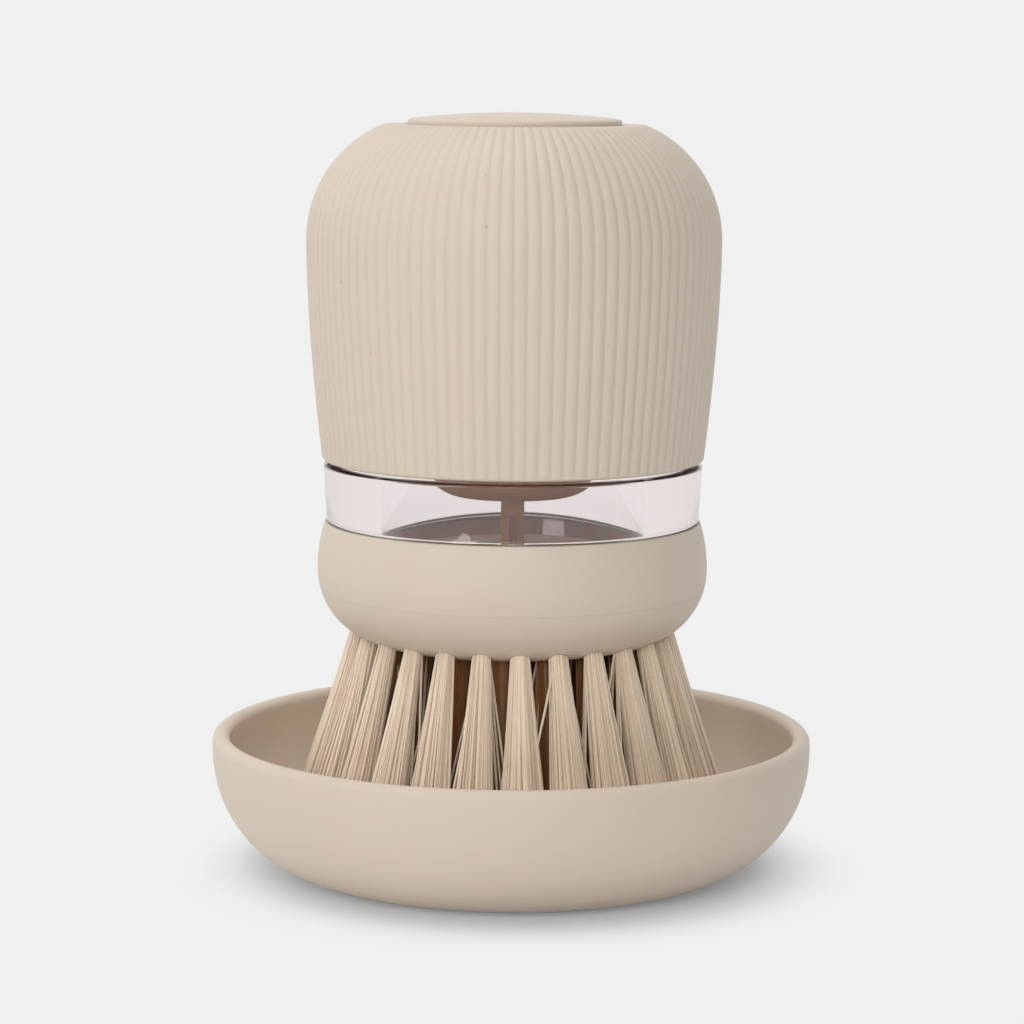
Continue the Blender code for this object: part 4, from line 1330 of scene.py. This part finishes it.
@dataclass
class Studio:
    """The pale table, the soft lights and the camera at the photograph's place, in metres."""

    grey: str = "#f0f0f0"
    back_level: float = 1.0
    front_level: float = 0.33
    back_turn_degrees: float = 22.0
    back_start: float = -0.2
    back_end: float = 0.65
    shade_colour: str = "#ecf4fb"
    floor_lift: float = 0.18
    near_fade: float = 0.030
    far_fade: float = 0.055
    table_half_mm: float = 6000.0
    aim: Triple = (0.0, 0.0, 0.05)
    lamps: list[Lamp] = field(default_factory=lambda: [
        Lamp("left_softbox", -37, 15, 1.3, 0.5, 0.175),
        Lamp("front_softbox", 0, 24, 1.3, 0.6, 0.22), Lamp("top_softbox", -60, 82, 1.0, 0.7, 0.27)])
    camera_place: Triple = (-0.00009, -0.503, 0.1221)
    camera_pitch_degrees: float = 82.265
    camera_roll_degrees: float = 0.344
    camera_near: float = 0.01
    lens_mm: float = 119.0
    sensor_mm: float = 36.0

    def seen_rays(self, add: Adder) -> tuple[Socket, Socket]:
        """Mark the rays that see the background.

        Args:
            add: Adds a node.

        Returns:
            1 for rays from the camera and those seen through glass, and 1 for these and gloss.
        """
        path = add("LightPath")
        direct = add("Math", {0: path["Is Camera Ray"], 1: path["Is Transmission Ray"]},
                     operation="ADD", use_clamp=True)[0]
        return direct, add("Math", {0: direct, 1: path["Is Glossy Ray"]},
                           operation="ADD", use_clamp=True)[0]

    def build_world(self) -> None:
        """Make the room light: a white backdrop behind the object and a darker room before it.

        The level rises smoothly from the front right to the back left with how far a direction
        points that way. What is seen directly or through glass is the plain backdrop.
        """
        world = bpy.data.worlds.new("studio")
        bpy.context.scene.world = world
        world.use_nodes = True
        tree = world.node_tree
        tree.nodes.clear()
        add = partial(add_node, tree)
        way = add("TexCoord")["Generated"]
        turn = math.radians(self.back_turn_degrees)
        depth = add("VectorMath", {0: way, 1: (-math.sin(turn), math.cos(turn), 0)},
                    operation="DOT_PRODUCT")
        level = add("MapRange", {
            "Value": depth["Value"], "From Min": self.back_start, "From Max": self.back_end,
            "To Min": self.front_level, "To Max": self.back_level}, interpolation_type="SMOOTHSTEP")
        room = add("Background", {"Color": "#ffffff", "Strength": level[0]})
        backdrop = add("Background", {"Color": self.grey, "Strength": 1.0})
        mixed = add("MixShader", {0: self.seen_rays(add)[0], 1: room[0], 2: backdrop[0]})
        add("OutputWorld", {"Surface": mixed[0]})

    def build_floor(self) -> None:
        """Make the table, which keeps the shadow near the object and fades to the backdrop.

        The beige dish warms the light in its own shadow. For the rays that see the table a
        cooler paint takes that back, so that the shadow is a plain grey.
        """
        material = bpy.data.materials.new("painted_table")
        material.use_nodes = True
        tree = material.node_tree
        tree.nodes.clear()
        add = partial(add_node, tree)
        place = add("TexCoord")["Object"]
        away = add("VectorMath", {0: place}, operation="LENGTH")
        fade = add("MapRange", {
            "Value": away["Value"], "From Min": self.near_fade, "From Max": self.far_fade},
            interpolation_type="SMOOTHSTEP")
        seen = self.seen_rays(add)[1]
        faded = add("Math", {0: fade[0], 1: seen}, operation="MULTIPLY")
        lifted = add("Math", {0: self.floor_lift, 1: seen}, operation="MULTIPLY")
        shown = add("Math", {0: faded[0], 1: lifted[0]}, operation="MAXIMUM")
        coat = add("Mix", {0: seen, 6: self.grey, 7: self.shade_colour}, data_type="RGBA")
        paint = add("BsdfDiffuse", {"Color": coat[2]})
        plain = add("Emission", {"Color": self.grey, "Strength": 1.0})
        mixed = add("MixShader", {0: shown[0], 1: paint[0], 2: plain[0]})
        add("OutputMaterial", {"Surface": mixed[0]})
        corners = self.table_half_mm * np.array([[-1, -1, 0], [1, -1, 0], [1, 1, 0], [-1, 1, 0]])
        mesh = raw_mesh("table", corners, [np.array([[0, 1, 2, 3]])])
        mesh.materials.append(material)
        placed("table", mesh)

    def build_camera(self) -> None:
        """Set the camera where the photograph was taken from."""
        lens = bpy.data.cameras.new("camera")
        lens.lens = self.lens_mm
        lens.sensor_width = self.sensor_mm
        lens.clip_start = self.camera_near
        camera = placed("camera", lens)
        pitch = Matrix.Rotation(math.radians(self.camera_pitch_degrees), 4, "X")
        roll = Matrix.Rotation(math.radians(self.camera_roll_degrees), 4, "Z")
        camera.matrix_world = Matrix.Translation(self.camera_place) @ pitch @ roll
        bpy.context.scene.camera = camera

    def build(self) -> None:
        """Set up the room, the table, the light and the camera."""
        self.build_world()
        self.build_floor()
        for lamp in self.lamps:
            lamp.build(Vector(self.aim))
        self.build_camera()
        bpy.context.scene.view_settings.view_transform = "Standard"


def make_finishes(shell: MouldedPlastic) -> dict[Slot, Material]:
    """Make the material of each slot.

    Args:
        shell: The finish of the outer shells.

    Returns:
        Slot to material.
    """
    # painted shade: the inner parts are a darker, warmer caramel than the shell, as the shade
    # inside the grip
    inner = MouldedPlastic("abs_moulded_caramel_painted_shade", "#c4936f", "#bb8a66", "#8f7a68", roughness=0.5)
    finishes = {Slot.SHELL: shell, Slot.INNER: inner, Slot.FIBRE: NylonFilament(),
                Slot.CLEAR: ClearPlastic(), Slot.SILICONE: Silicone(), Slot.STEEL: DrawnSteel()}
    return {slot: finish.material() for slot, finish in finishes.items()}


def main() -> None:
    """Build the sub-assemblies in order, dress what stays packed, and light it all."""
    logging.basicConfig(level=logging.INFO, format="%(name)s: %(message)s")
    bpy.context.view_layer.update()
    shell = MouldedPlastic("abs_moulded_cream", "#dccdbd", "#d7c7b6", "#b5a08c")
    outfitter = Outfitter(shell, make_finishes(shell))
    for assembly in (StorageDish, BrushHead, SoapReservoir, InnerHousing, GripCover, PushButton,
                     Plunger):
        assembly(outfitter).build()
        LOG.info("%s done", assembly.__name__)
    for slot, nodes in KEPT_NODES.items():
        for node in nodes:
            outfitter.dress_node(node, slot)
            LOG.info("%s keeps its packed shape in %s", node, slot.value)
    Studio().build()


if __name__ == "__main__":
    main()
